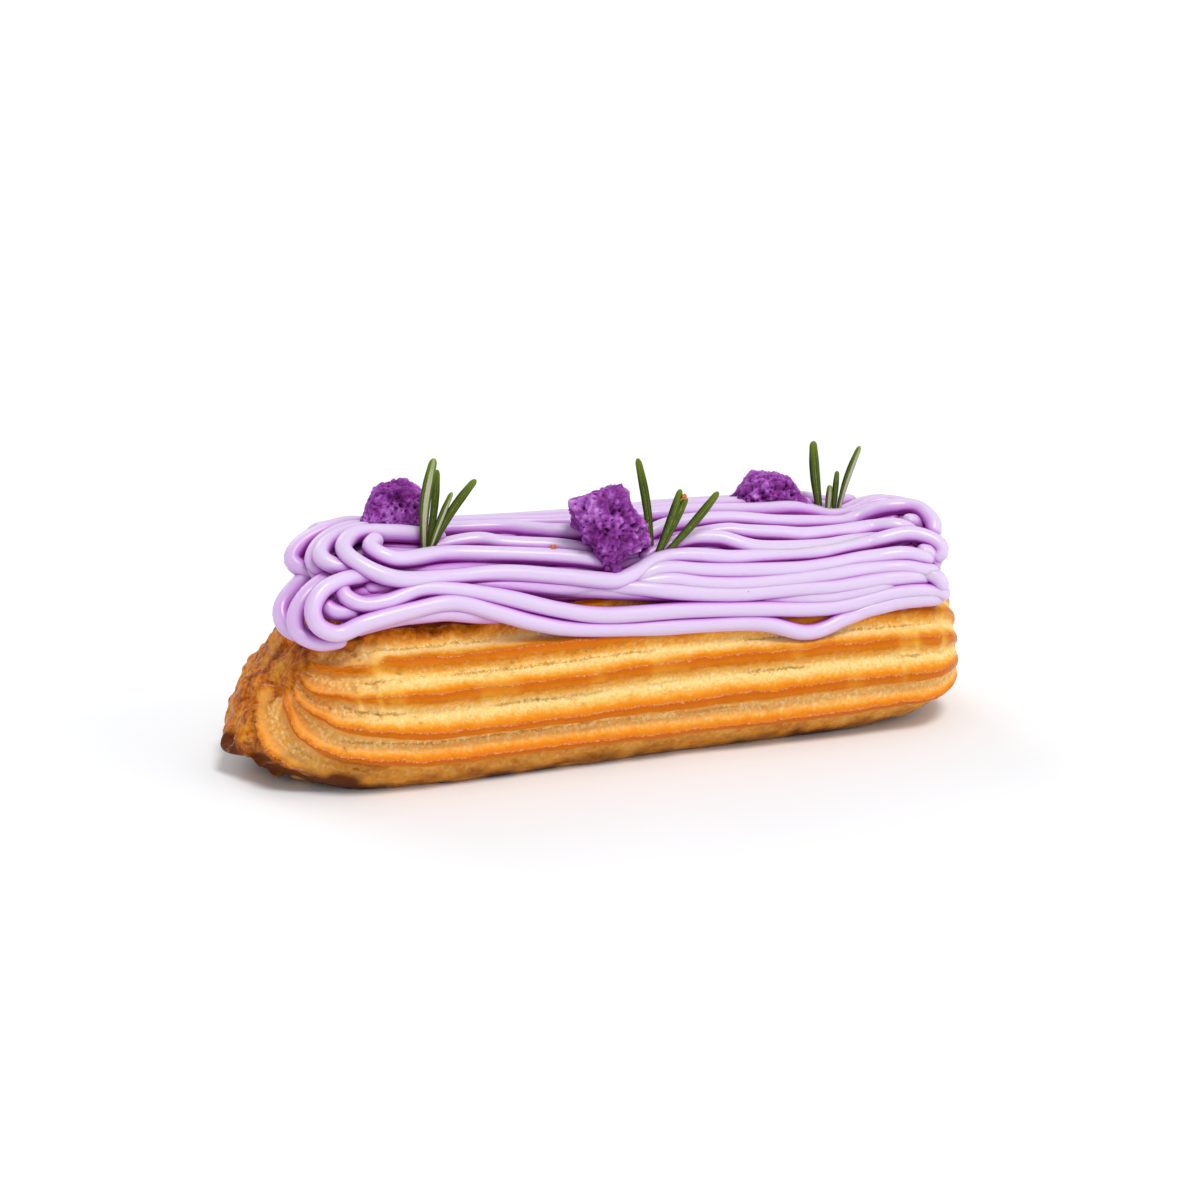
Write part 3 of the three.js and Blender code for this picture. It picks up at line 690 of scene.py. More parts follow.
def strand_tube(path, marks, length, outward, radius, seed):
    """A tube: each ring's points are radius * (cos a * side + sin a * lift) off the path, with lift the
    outward direction squared to the path. The radius swells a little at random and closes at both ends.
    Also returns where each point lies on the strand, for the fine streaks in its finish and for the shade
    painted on the sides that turn away from the heap's outside."""
    tangent = np.gradient(path, axis=0)
    tangent /= np.linalg.norm(tangent, axis=1, keepdims=True)
    lift = outward - (outward * tangent).sum(1, keepdims=True) * tangent
    lift /= np.linalg.norm(lift, axis=1, keepdims=True) + 1e-9
    side = np.cross(tangent, lift)
    c, s, along = np.cos(angles_round(STRAND_SIDES)), np.sin(angles_round(STRAND_SIDES)), marks[:, None]
    to_end = np.minimum(marks, length - marks)
    closing = np.sqrt(1 - (1 - np.clip(to_end / radius, 0, 1)) ** 2)
    swell = 1.02 + 0.07 * smooth_noise(points_of(marks, 0, 0) + seed * 31.7, 7.0, 41)
    ring = c[:, None] * side[:, None] + s[:, None] * lift[:, None]
    grooves = 1 + 0.012 * smooth_noise(points_of(c * 2.2, s * 2.2, along / 14 + seed * 5.1), 0.6, 43)
    size = (radius * swell * closing)[:, None] * grooves
    return path[:, None] + size[..., None] * ring, points_of(c, s, along / 16 + seed * 3.3)


def heap_outward(path):
    """Direction away from the heap's axis, which runs inside the heap at the height of its foot."""
    middle = points_of(np.clip(path[:, 0], -42, 50), 0, heap_section(path[:, 0])[1])
    away = path - middle
    return away / np.linalg.norm(away, axis=1, keepdims=True)


# %% [markdown]
# ### How deep a strand lies
#
# Cream deep between its neighbours lies in their shade, and that shade is painted into its colour as a
# deeper purple. How deep each point lies under the heap's face is known from the shape, so it is stored
# with the mesh and the finish needs no image map. The rows that can be seen from outside stand on plain
# rows underneath, which fill the gaps between them.


# %% Depth of every strand's point under the heap's face
HEAP_RADIUS, SHADE_DEPTH = 14, 2.4  # mm; at SHADE_DEPTH under the face a point is fully shaded


def recess_shade(points):
    """0 on the heap's face and 1 at SHADE_DEPTH: deeper points lie in the shade of their neighbours,
    which the finish paints into their colour as a deeper purple.
    """
    half_width, foot_height, crest = heap_section(points[..., 0])
    across = points[..., 1] / half_width
    rise = (points[..., 2] - foot_height) / (crest - foot_height)
    size = (np.abs(across) ** CREAM_SQUARENESS + np.abs(np.clip(rise, 0, None)) ** CREAM_SQUARENESS) ** (
        1 / CREAM_SQUARENESS
    )
    return np.clip((1 - size) * HEAP_RADIUS / SHADE_DEPTH, 0, 1)


def cream_piece(name, paths, shade=1.0):
    """One object of the strands that follow the given knots; shade scales the painted shade that their depth
    gives their colour.
    """
    grids, lies, shades = [], [], []
    for seed, knots in enumerate(paths):
        path, marks, length = smooth_path(knots, RING_STEP)
        points, lie = strand_tube(path, marks, length, heap_outward(path), STRAND_RADIUS, seed + len(name))
        grids.append(points)
        lies.append(lie.reshape(-1, 3))
        shades.append(shade * recess_shade(points).ravel())
    piece = skin(name, grids, {"lie": np.concatenate(lies), "recess_shade": np.concatenate(shades)})
    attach(piece, "root")
    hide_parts("cream")
    return piece


def on_heap(rows):
    """The knots of each row as points in space."""
    return [heap_point(*np.array(row, dtype=float).T) for row in rows]


# %% Rows underneath, and every cream piece
UNDER_DEPTH, UNDER_SPACING, UNDER_WAVE = 3.2, 8.2, 3.5  # mm, degrees, degrees
stops = np.arange(-47, 56, 7.3)
lowest = np.interp(stops, [-48, -44, -36, -29, -22, -16, -10], [5, 13, 20, 23, 17, 9, 0])
under_rows = []
for row, degrees in enumerate(np.arange(3, 178, UNDER_SPACING)):
    wave = UNDER_WAVE * smooth_noise(points_of(stops / 17, row * 1.7, 0), 1.0, 45)
    deeper = UNDER_DEPTH + 6 * bell(stops, 0, 12) * bell(degrees, 15, 10) + 1.5 * bell(stops, -47, 4)
    under_rows.append(np.stack([stops, np.maximum(degrees + wave, lowest), deeper], -1))

near_cream = cream_piece("cream_near_strands", on_heap(near_rows.values()))
under_cream = cream_piece("cream_under_strands", on_heap(under_rows))
crown_cream = cream_piece("cream_crown_strands", on_heap(crown_rows.values()))
loop_cream = cream_piece("cream_left_loops", on_heap(left_loops.values()), 0.4)
far_cream = cream_piece("cream_far_strands", on_heap(far_rows))
fold_cream = cream_piece("cream_end_folds", folds, 0.3)

# %% [markdown]
# ### The cream under the strands
#
# Older layers of cream fill the heap. They show between the strands as a lumpy ground, so the core is a
# rounded block just under the strands. It lies in the strands' shade, so its colour is painted as fully
# shaded, darker purple than the strands. Strands alone would leave see-through gaps. Where the strands
# part and the baked crust shows through, the core has a dent.

# %% Core of the heap
CORE_LEFT, CORE_RIGHT, CORE_DEPTH = -49.5, 56.5, 3.4
CORE_ROWS, CORE_SIDES = 160, 220


def core_points(rows, sides):
    """Superellipse sections that close at both ends, rippled like the layers of strands inside. The two
    dents lie low on the near side, where the baked crust shows between the strands."""
    along = -np.cos(np.pi * np.linspace(0.02, 0.98, rows))[:, None]
    close = (1 - np.abs(along) ** np.where(along > 0, 14, 6)) ** 0.4
    x = (CORE_LEFT + CORE_RIGHT) / 2 + (CORE_RIGHT - CORE_LEFT) / 2 * along
    half_width, foot_height, crest = heap_section(x)
    angle = angles_round(sides)[None, :]
    c, s = np.cos(angle), np.sin(angle)
    reach = super_reach(c, s, CREAM_SQUARENESS) * close
    degrees = (np.degrees(angle) + 180) % 360 - 180
    dent = 6 * bell(x, 0, 14) * bell(degrees, 13, 13) + 7 * bell(x, -29, 15) * bell(degrees, 0, 13)
    ripple = 0.35 * np.sin(degrees / 7.5 * 2 * np.pi) * (s > 0)
    deep = CORE_DEPTH + dent + ripple
    y = -(half_width - deep) * reach * c
    z = foot_height + np.where(s > 0, crest - foot_height - deep, 3) * reach * s
    return points_of(x, y, z)


core_grid = core_points(CORE_ROWS, CORE_SIDES)
core_cream = skin(
    "cream_core",
    [core_grid],
    # painted shade: every point of the core counts as fully deep, so the core takes a deeper purple
    {"lie": core_grid.reshape(-1, 3) * [0.06, 0.8, 0.8], "recess_shade": np.ones(core_grid.size // 3)},
)
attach(core_cream, "root")
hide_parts("cream")

# %% [markdown]
# ## Purple cake
#
# The cake pieces are torn from a sponge sheet: rough blocks full of pores, with ragged edges. Cutting pores
# out of a block one by one would be slow and would leave holes in the skin. So a sphere is squared off to
# a block, its torn faces are pulled in to slanting planes, and noise moves its points in and out. A few
# loose crumbs lie beside the middle piece.

# %% Cake pieces
cake_forms = {  # tears: outward direction and distance from the middle of each face that was torn off
    "cake_left": dict(
        at=(-34.6, 2.5, 41.0), half=(6.2, 5.0, 6.6), turn=12, seed=51,
        tears=[
            (-0.78, 0.41, 0.47, 3.8), (-0.14, 0.36, 0.92, 5.1),
            (0.68, 0.03, 0.73, 6.2), (0.95, -0.31, 0, 5.8),
        ],
    ),
    "cake_middle": dict(
        at=(-0.8, -10.2, 39.6), half=(8.4, 5.2, 8.2), turn=-8, seed=61,
        tears=[
            (-0.19, 0.37, 0.91, 5.9), (0.89, -0.14, 0.43, 5.0),
            (0.41, -0.41, -0.81, 5.9), (-0.89, 0.14, -0.44, 4.6),
        ],
    ),
    "cake_right": dict(
        at=(33.0, 5.0, 36.8), half=(8.2, 5.6, 6.0), turn=-6, seed=71,
        tears=[
            (-0.67, 0.43, 0.61, 5.1), (0.25, 0.24, 0.94, 4.7),
            (0.82, -0.07, 0.57, 5.7), (0.75, 0, -0.66, 6.0),
        ],
    ),
}
CRUMBS = {  # x, y, z and size of the loose ones
    "cake_middle": [
        (-0.7, -13.7, 33.0, 0.95), (5.4, -11.4, 36.4, 0.9),
        (-6.4, -10.4, 40.3, 1.1), (-2.2, -13.6, 33.2, 0.5),
    ]
}

# %% A torn block and a loose crumb
CAKE_ROWS, CAKE_SIDES = ((210, 300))
CRUMB_ROWS, CRUMB_SIDES = 24, 32


def squared_sphere(rows, sides):
    """A sphere in latitude rings, moved three quarters of the way out to a cube; also its directions."""
    latitude = np.linspace(0.01, np.pi - 0.01, rows)[:, None]
    longitude = angles_round(sides)[None, :]
    around = np.sin(latitude)
    unit = points_of(around * np.cos(longitude), around * np.sin(longitude), np.cos(latitude))
    return unit * (0.24 + 0.76 / np.abs(unit).max(-1, keepdims=True)), unit


def cake_grid(at, half, turn, tears, seed):
    """A block with its torn faces pulled in to their planes, then roughened along its outward directions;
    returns its points, how much of a pore each is, and how far each stands out."""
    cube, unit = squared_sphere(CAKE_ROWS, CAKE_SIDES)
    block = cube * half
    c, s = np.cos(np.radians(turn)), np.sin(np.radians(turn))
    turning = np.array([[c, -s, 0], [s, c, 0], [0, 0, 1]])
    block, outward = block @ turning.T, unit @ turning.T
    for *direction, distance in tears:
        beyond = np.clip(block @ direction - distance, 0, None)[..., None]
        block = block - beyond * direction
    block = block * (1 - 0.1 * smoothstep(0.86, 1.15, np.linalg.norm(block / half, axis=-1, keepdims=True)))
    lumps = 0.6 * smooth_noise(block, 4.2, seed) + 0.6 * smooth_noise(block, 2.0, seed + 1)
    ragged = 0.6 + 0.5 * smooth_noise(block, 3.0, seed + 7)
    warped = block + 0.5 * smooth_noise(block, 1.2, seed + 8)[..., None]
    crumbs = 0.7 * ragged * (0.5 - cell_noise(warped, 1.4, seed + 2))
    crumbs = crumbs + 0.35 * (0.5 - cell_noise(warped, 0.7, seed + 3))
    crumbs = crumbs + 0.3 * ragged * smooth_noise(block, 0.75, seed + 9)
    crumbs = crumbs + 0.12 * smooth_noise(block, 0.35, seed + 4)
    pits = smoothstep(0.34, 0.14, cell_noise(warped, 1.9, seed + 5)) * smoothstep(0.3, 0.7, ragged)
    pits = pits + 0.7 * smoothstep(0.3, 0.12, cell_noise(block, 0.9, seed + 6))
    height = lumps + crumbs - 0.7 * pits
    return block + outward * height[..., None] + np.array(at), pits, lumps * 0.4 + crumbs * 1.3


def crumb_grid(x, y, z, size, seed):
    """A loose crumb: a small rounded cube, moved in and out by smooth noise."""
    cube, unit = squared_sphere(CRUMB_ROWS, CRUMB_SIDES)
    lump = cube * 0.8 * size + unit * (0.35 * size * smooth_noise(cube + seed, 0.6, 91))[..., None]
    return lump + np.array([x, y, z])


# %% Build the cake pieces
for name, form_values in cake_forms.items():
    grid, pits, height_map = cake_grid(**form_values)
    loose = [crumb_grid(*place, seed) for seed, place in enumerate(CRUMBS.get(name, []))]
    # The loose crumbs take a little of the painted pore shade all over.
    pits = np.concatenate([np.clip(pits, 0, 1).ravel(), np.full(sum(c.size // 3 for c in loose), 0.35)])
    lump = np.concatenate([height_map.ravel(), np.zeros(len(pits) - height_map.size)])
    cake = skin(name + "_crumb", [grid] + loose, {"pits": pits, "lump": lump})
    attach(cake, "root")
    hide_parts(name)

# %% [markdown]
# ## Pastry crumbs
#
# Two specks of baked crust fell on the topping, one on the cream and one on a rosemary needle. They are
# the same small uneven cubes as the loose cake crumbs, and take the crust's finish, so nothing new is
# needed for them.

# %% Pastry crumbs
pastry_crumb = skin(
    "pastry_crumbs", [crumb_grid(-10.4, -10.4, 36.6, 0.55, 5), crumb_grid(11.7, -12.2, 43.9, 0.5, 6)]
)
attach(pastry_crumb, "root")
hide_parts("cream")

# %% [markdown]
# ## Rosemary
#
# A rosemary needle is a narrow leaf whose edges roll under: the top is green with a groove along its
# middle, the underside pale with a raised vein. A flat card would vanish edge-on, so each needle is a
# flattened tube, narrow at its foot, widest past its middle and round at its tip. It is rolled about its
# own length so that it shows the side that the photo shows.

# %% Needles
sprigs = {  # each needle: foot, tip, width, bow, roll in degrees
    "rosemary_left": [
        ((-31.4, -6.6, 36.6), (-29.3, -6, 52.2), 1.05, -0.7, 180),
        ((-30.9, -6.2, 35.8), (-28.4, -4.6, 49.9), 0.75, 0.3, 30),
        ((-31, -7.6, 36.6), (-26.8, -7.6, 46.7), 0.75, -0.2, 150),
        ((-30.3, -6.4, 36.6), (-22.3, -6, 48.1), 0.85, -0.6, 20),
    ],
    "rosemary_middle": [
        ((6.7, -10.6, 33.4), (5, -8, 50), 0.85, 0.4, 20),
        ((6.9, -11.6, 33.4), (11.2, -12, 45.2), 0.95, 0.2, -20),
        ((7.2, -11.2, 33.4), (12.4, -11.6, 43.6), 0.85, 0, 10),
        ((7.8, -11.4, 33.2), (17.9, -12, 44.2), 0.85, 0.3, 10),
    ],
    "rosemary_right": [
        ((42.6, 2.6, 33.6), (40.9, 3, 47.6), 1.05, -0.3, 0),
        ((43.3, 1.6, 33.6), (43.6, 1.4, 39.9), 0.7, 0, 180),
        ((44.7, 2.4, 33.6), (45.4, 2.6, 42), 0.65, 0, 0),
        ((45.3, 2, 33.6), (49.3, 2, 46.3), 0.85, -0.5, 160),
    ],
}

# %% The rings of a needle
NEEDLE_WIDTH, NEEDLE_THICKNESS = 1.75, 1.1
NEEDLE_RINGS, NEEDLE_SIDES = 60, 36


def needle_grid(foot, tip, width, bow, roll):
    """Rings round a slightly bowed line. Across the leaf the section is an ellipse with a groove pressed
    into its upper side and a vein raised on its lower side. Also returns each point's place across the
    leaf, through it and along it, for its finish."""
    foot, tip = np.array(foot, float), np.array(tip, float)
    along = (tip - foot) / np.linalg.norm(tip - foot)
    across = np.cross([0, 1, 0], along)
    across /= np.linalg.norm(across)
    through = np.cross(along, across)
    u = 1 - (1 - np.linspace(0, 1, NEEDLE_RINGS)) ** 1.5
    closing = np.sqrt(np.clip(1 - np.clip((u - 0.93) / 0.07, 0, 1) ** 2, 0.0004, 1))
    swell = (0.62 + 0.38 * smoothstep(0, 0.6, u)) * (1 - 0.25 * smoothstep(0.7, 1, u)) * closing
    spine = foot + u[:, None] * (tip - foot) + across * (bow * np.sin(np.pi * u))[:, None]
    c, s = np.cos(angles_round(NEEDLE_SIDES)), np.sin(angles_round(NEEDLE_SIDES))
    wide = c * width * NEEDLE_WIDTH / 2
    groove = 0.3 * bell(c, 0, 0.22) * (s > 0) - 0.12 * bell(c, 0, 0.2) * (s < 0)
    thick = (s * (1 - groove)) * width * NEEDLE_THICKNESS / 2
    spin = np.radians(roll)
    flat = np.cos(spin) * wide - np.sin(spin) * thick
    deep = np.sin(spin) * wide + np.cos(spin) * thick
    points = spine[:, None] + swell[:, None, None] * (flat[:, None] * across - deep[:, None] * through)
    return points, points_of(c, s, u[:, None])


# %% Build the sprigs
for name, needles in sprigs.items():
    made = [needle_grid(*needle) for needle in needles]
    leaves = np.concatenate([leaf.reshape(-1, 3) for _, leaf in made])
    sprig = skin(name + "_needles", [points for points, _ in made], {"leaf": leaves})
    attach(sprig, "root")
    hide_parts(name)

# %% [markdown]
# ## Materials
#
# A finish is a small tree of nodes that ends in Blender's Principled shader. Two node groups serve several
# finishes: "Fine grain" is noise for a surface's bump and for breaking up its colour, and "Specks" are
# sparse dots. Writing the trees in Python takes longer than drawing them once, but every number stays in
# sight and the same helpers serve all four finishes.


# %% Shader helpers
def linear(red, green, blue):
    """An sRGB colour from 0 to 255 as the linear RGBA that Blender's sockets take."""
    value = np.array([red, green, blue]) / 255
    value = np.where(value <= 0.04045, value / 12.92, ((value + 0.055) / 1.055) ** 2.4)
    return (*value, 1.0)


def wire(tree, *pairs):
    """Link each pair of sockets, an output to an input."""
    for output, socket in pairs:
        tree.links.new(output, socket)


def math_node(tree, operation, *values):
    """The output of a Math node that is fed with sockets or plain numbers."""
    node = tree.nodes.new("ShaderNodeMath")
    node.operation = operation
    for socket, value in zip(node.inputs, values):
        if isinstance(value, bpy.types.NodeSocket):
            tree.links.new(value, socket)
        else:
            socket.default_value = value
    return node.outputs[0]


# %% Node groups
def new_group(name, numbers, output):
    """An empty node group that takes a vector and the named numbers, and puts out one number."""
    group = bpy.data.node_groups.new(name, "ShaderNodeTree")
    group.interface.new_socket("Vector", in_out="INPUT", socket_type="NodeSocketVector")
    for label, default in numbers.items():
        socket = group.interface.new_socket(label, in_out="INPUT", socket_type="NodeSocketFloat")
        socket.default_value = default
    group.interface.new_socket(output, in_out="OUTPUT", socket_type="NodeSocketFloat")
    return group, group.nodes.new("NodeGroupInput").outputs, group.nodes.new("NodeGroupOutput").inputs


def fine_grain_group():
    """Grain: a coarse noise blended with one four times finer; `Fine share` says how much of the fine."""
    group, given, result = new_group("Fine grain", {"Size": 1000.0, "Fine share": 0.5}, "Value")
    coarse = group.nodes.new("ShaderNodeTexNoise")
    coarse.inputs["Detail"].default_value = 4
    fine = group.nodes.new("ShaderNodeTexNoise")
    fine.inputs["Detail"].default_value = 2
    mix = group.nodes.new("ShaderNodeMix")
    wire(
        group,
        (given["Vector"], coarse.inputs["Vector"]),
        (given["Vector"], fine.inputs["Vector"]),
        (given["Size"], coarse.inputs["Scale"]),
        (math_node(group, "MULTIPLY", given["Size"], 4), fine.inputs["Scale"]),
        (given["Fine share"], mix.inputs["Factor"]),
        (coarse.outputs["Fac"], mix.inputs["A"]),
        (fine.outputs["Fac"], mix.inputs["B"]),
        (mix.outputs["Result"], result["Value"]),
    )
    return group


def specks_group():
    """Specks: 1 within `Radius` of scattered points, of which only the share `Share` is kept."""
    group, given, result = new_group("Specks", {"Size": 300.0, "Radius": 0.15, "Share": 0.3}, "Mask")
    cells = group.nodes.new("ShaderNodeTexVoronoi")
    split = group.nodes.new("ShaderNodeSeparateColor")
    near = math_node(group, "LESS_THAN", cells.outputs["Distance"], given["Radius"])
    kept = math_node(group, "LESS_THAN", split.outputs["Red"], given["Share"])
    wire(
        group,
        (given["Vector"], cells.inputs["Vector"]),
        (given["Size"], cells.inputs["Scale"]),
        (cells.outputs["Color"], split.inputs["Color"]),
        (math_node(group, "MULTIPLY", near, kept), result["Mask"]),
    )
    return group


FINE_GRAIN = fine_grain_group()
SPECKS = specks_group()
print("node groups:", FINE_GRAIN.name, "and", SPECKS.name)


# %% A finish under construction
class Finish:
    """A material with its shader's plain values set, and short ways to add and link nodes."""

    def __init__(self, name, values):
        self.material = bpy.data.materials.new(name)
        self.material.use_nodes = True
        self.tree = self.material.node_tree
        self.nodes = self.tree.nodes
        self.shader = self.nodes["Principled BSDF"].inputs
        for label, value in values.items():
            self.shader[label].default_value = value
        self.place = self.nodes.new("ShaderNodeTexCoord").outputs["Object"]

    def attribute(self, name, output="Fac"):
        node = self.nodes.new("ShaderNodeAttribute")
        node.attribute_name = name
        return node.outputs[output]

    def axes(self, vector):
        """The X, Y and Z of a vector."""
        node = self.nodes.new("ShaderNodeSeparateXYZ")
        self.tree.links.new(vector, node.inputs["Vector"])
        return node.outputs

    def group(self, group, values, vector=None):
        """A node group with its own values, laid on Object coordinates unless a vector is given."""
        node = self.nodes.new("ShaderNodeGroup")
        node.node_tree = group
        for label, value in values.items():
            node.inputs[label].default_value = value
        self.tree.links.new(vector or self.place, node.inputs["Vector"])
        return node.outputs[0]

    def grain(self, size, fine_share, vector=None):
        return self.group(FINE_GRAIN, {"Size": size, "Fine share": fine_share}, vector)

    def specks(self, size, radius, share):
        return self.group(SPECKS, {"Size": size, "Radius": radius, "Share": share})

    def math(self, operation, *values):
        return math_node(self.tree, operation, *values)

    def plus(self, *values):
        return self.math("ADD", *values)

    def times(self, *values):
        return self.math("MULTIPLY", *values)

    def stretch(self, value, low, high, new_low=0.0, new_high=1.0):
        """The range from low to high, stretched to the new one and cut off outside it."""
        node = self.nodes.new("ShaderNodeMapRange")
        self.tree.links.new(value, node.inputs["Value"])
        ends = {"From Min": low, "From Max": high, "To Min": new_low, "To Max": new_high}
        for label, number in ends.items():
            node.inputs[label].default_value = number
        return node.outputs["Result"]

    def sway(self, grain, amount):
        """Grain as a number that swings between minus and plus the amount."""
        return self.stretch(grain, 0.3, 0.7, -amount, amount)

    def ramp(self, value, stops):
        """Colours along a value; stops are (place, sRGB colour)."""
        node = self.nodes.new("ShaderNodeValToRGB")
        self.tree.links.new(value, node.inputs["Fac"])
        elements = node.color_ramp.elements
        while len(elements) < len(stops):
            elements.new(0.5)
        for element, (position, colour) in zip(elements, stops):
            element.position = position
            element.color = linear(*colour)
        return node.outputs["Color"]

    def mix(self, factor, first, second):
        """The first colour turning into the second; each is a socket or an sRGB colour."""
        node = self.nodes.new("ShaderNodeMix")
        node.data_type = "RGBA"
        self.tree.links.new(factor, node.inputs["Factor"])
        for socket, value in ((node.inputs[6], first), (node.inputs[7], second)):
            if isinstance(value, bpy.types.NodeSocket):
                self.tree.links.new(value, socket)
            else:
                socket.default_value = linear(*value)
        return node.outputs[2]

    def bump(self, height, strength, distance):
        """Fine relief that only tilts the light; distance is in mm."""
        node = self.nodes.new("ShaderNodeBump")
        node.inputs["Strength"].default_value = strength
        node.inputs["Distance"].default_value = distance * MM
        wire(self.tree, (height, node.inputs["Height"]), (node.outputs["Normal"], self.shader["Normal"]))

    def colour(self, socket):
        """Link the finished colour and hand the material over."""
        self.tree.links.new(socket, self.shader["Base Color"])
        print("finish:", self.material.name, "nodes", len(self.nodes))
        return self.material


# %% [markdown]
# ### Baked crust
#
# An oven browns first what stands out, so the lip of a ridge is dark amber while the valley, which tore
# open last, stays pale. A painted picture could show this, but it would have to be fitted to the shape.
# Here the mesh already stores the place across each ridge, so a colour ramp read along that place can't
# slide off the ridges. Mottling, cracks, speckle, a darker foot that is partly scorched and partly painted
# shade, and a broken glint painted as a highlight are mixed over it in turn, and the low sides are painted
# warmer as light bounced into their shade.

# %% Colours of the crust
# Stops of (place, sRGB colour). The first three ramps run across a ridge from valley to valley, with the
# lip in the middle; the last two follow a mottled noise.
# In BAKED the stops up to 0.2, low on each ridge where it faces down, are warmer: partly the crust's gold,
# partly painted light bounced into their shade.
BAKED = [
    (0.0, (254, 210, 126)), (0.1, (252, 196, 98)), (0.2, (242, 164, 46)), (0.28, (214, 124, 4)),
    (0.35, (213, 114, 0)), (0.45, (208, 102, 0)), (0.5, (218, 106, 0)), (0.53, (228, 122, 2)),
    (0.6, (232, 138, 14)), (0.7, (243, 174, 64)), (0.8, (253, 205, 122)), (0.9, (255, 219, 144)),
    (1.0, (252, 212, 130)),
]
WORN = [
    (0.0, (246, 204, 124)), (0.25, (240, 176, 64)), (0.45, (230, 146, 30)), (0.7, (246, 192, 90)),
    (1.0, (246, 204, 124)),
]
AMBER = [
    (0.0, (240, 162, 66)), (0.2, (234, 146, 40)), (0.3, (218, 116, 6)), (0.5, (220, 106, 0)),
    (0.6, (236, 138, 18)), (0.75, (246, 172, 76)), (1.0, (240, 162, 66)),
]
TAN = [(0.3, (176, 98, 14)), (0.42, (208, 130, 34)), (0.55, (222, 152, 58)), (0.72, (234, 178, 92))]
TORN = [
    (0.34, (128, 54, 0)), (0.45, (186, 90, 0)), (0.53, (212, 120, 6)), (0.61, (222, 144, 30)),
    (0.75, (240, 182, 84)),
]
IN_CRACKS, SPECKLE, FLECK = (176, 118, 24), (255, 234, 170), (214, 126, 22)
# The foot's dark colour is partly scorched crust, partly painted shade; the glint is a painted highlight.
SCORCH_AND_SHADE_COLOUR, GLINT = (92, 34, 0), (255, 214, 168)


# %% Crust
def crust_material():
    """Baked crust. Across a ridge the colour goes from a pale valley over gold to a brown band that ends at
    the lip; the rough end and the belt near the tray have mottled colours of their own."""
    finish = Finish("baked choux crust", {"Roughness": 0.5, "Specular IOR Level": 0.11})
    plus, times, mask = finish.plus, finish.times, finish.attribute

    # The wavering place across a ridge, squeezed where the ridge is a thin cord
    circle = finish.axes(mask("ridge", "Vector"))
    place = finish.math("DIVIDE", finish.math("ARCTAN2", circle["Y"], circle["X"]), 2 * np.pi)
    grain = finish.grain(1500, 0.4)
    across = plus(place, plus(finish.sway(finish.grain(420, 0.3), 0.045), finish.sway(grain, 0.03)))
    position = plus(times(across, plus(circle["Z"], 1.0)), 0.5)

    # Colours by that place, paler where the ridge is worn, warmer at the left end, where the amber is partly
    # the crust's own and partly painted light in its shade, and warmer on the low sides as painted bounce
    # light
    crust = finish.mix(mask("worn"), finish.ramp(position, BAKED), finish.ramp(position, WORN))
    amber_and_bounce = finish.math("MAXIMUM", finish.stretch(circle["Z"], 0.2, 1.4, 0.0, 0.9), mask("low_side_bounce"))
    crust = finish.mix(amber_and_bounce, crust, finish.ramp(position, AMBER))

    # The belt and the rough end are mottled instead
    mottle = finish.grain(260, 0.35)
    crust = finish.mix(mask("belt"), crust, finish.ramp(mottle, TAN))
    crust = finish.mix(mask("rough"), crust, finish.ramp(mottle, TORN))

    # Cracks along the valleys, and pores
    edge = finish.math("SUBTRACT", 0.5, finish.math("ABSOLUTE", across))
    jagged = plus(edge, finish.sway(finish.grain(900, 0.55), 0.07))
    torn_open = times(finish.stretch(jagged, 0.05, 0.01), mask("crack_open"))
    pore = times(mask("pores"), finish.stretch(finish.grain(1900, 0.4), 0.42, 0.55))
    dark = finish.math("MAXIMUM", torn_open, pore)
    crust = finish.mix(times(dark, 0.7), crust, IN_CRACKS)

    # Pale speckle in the valleys, brown flecks everywhere, and a darker foot, partly scorched, partly painted
    # shade
    speckle = finish.stretch(finish.grain(1500, 0.3), 0.5, 0.58, 0.0, 0.7)
    speckle = times(speckle, finish.stretch(edge, 0.36, 0.08))
    smooth = finish.math("MAXIMUM", mask("belt"), mask("rough"))
    speckle = times(speckle, finish.stretch(smooth, 0.0, 1.0, 1.0, 0.25))
    crust = finish.mix(speckle, crust, SPECKLE)
    fleck = finish.stretch(finish.grain(1700, 0.3), 0.56, 0.68, 0.0, 0.55)
    crust = finish.mix(fleck, crust, FLECK)
    crust = finish.mix(times(mask("scorch_and_shade"), 0.95), crust, SCORCH_AND_SHADE_COLOUR)

    # A broken glint along the lip
    off_lip = finish.math("ABSOLUTE", finish.math("SUBTRACT", across, 0.01))
    lip = finish.math("SUBTRACT", 1.0, finish.stretch(off_lip, 0.0, 0.03))
    glint = times(lip, finish.stretch(finish.grain(2200, 0.5), 0.48, 0.56))
    glint = times(glint, finish.math("SUBTRACT", 1.0, mask("belt")))
    crust = finish.mix(times(glint, 0.75), crust, GLINT)

    # Relief too fine for the mesh, and a gloss on the brown band
    relief = plus(grain, times(finish.grain(4200, 0.5), 0.6))
    relief = finish.math("SUBTRACT", relief, times(dark, 0.3))
    finish.bump(plus(relief, times(lip, 0.8)), 0.85, 0.16)
    gloss = finish.stretch(finish.math("ABSOLUTE", plus(across, 0.12)), 0.1, 0.3, 0.26, 0.6)
    finish.tree.links.new(gloss, finish.shader["Roughness"])
    return finish.colour(crust)


crust_finish = crust_material()
for piece in (shell_piece, pastry_crumb):
    piece.data.materials.append(crust_finish)
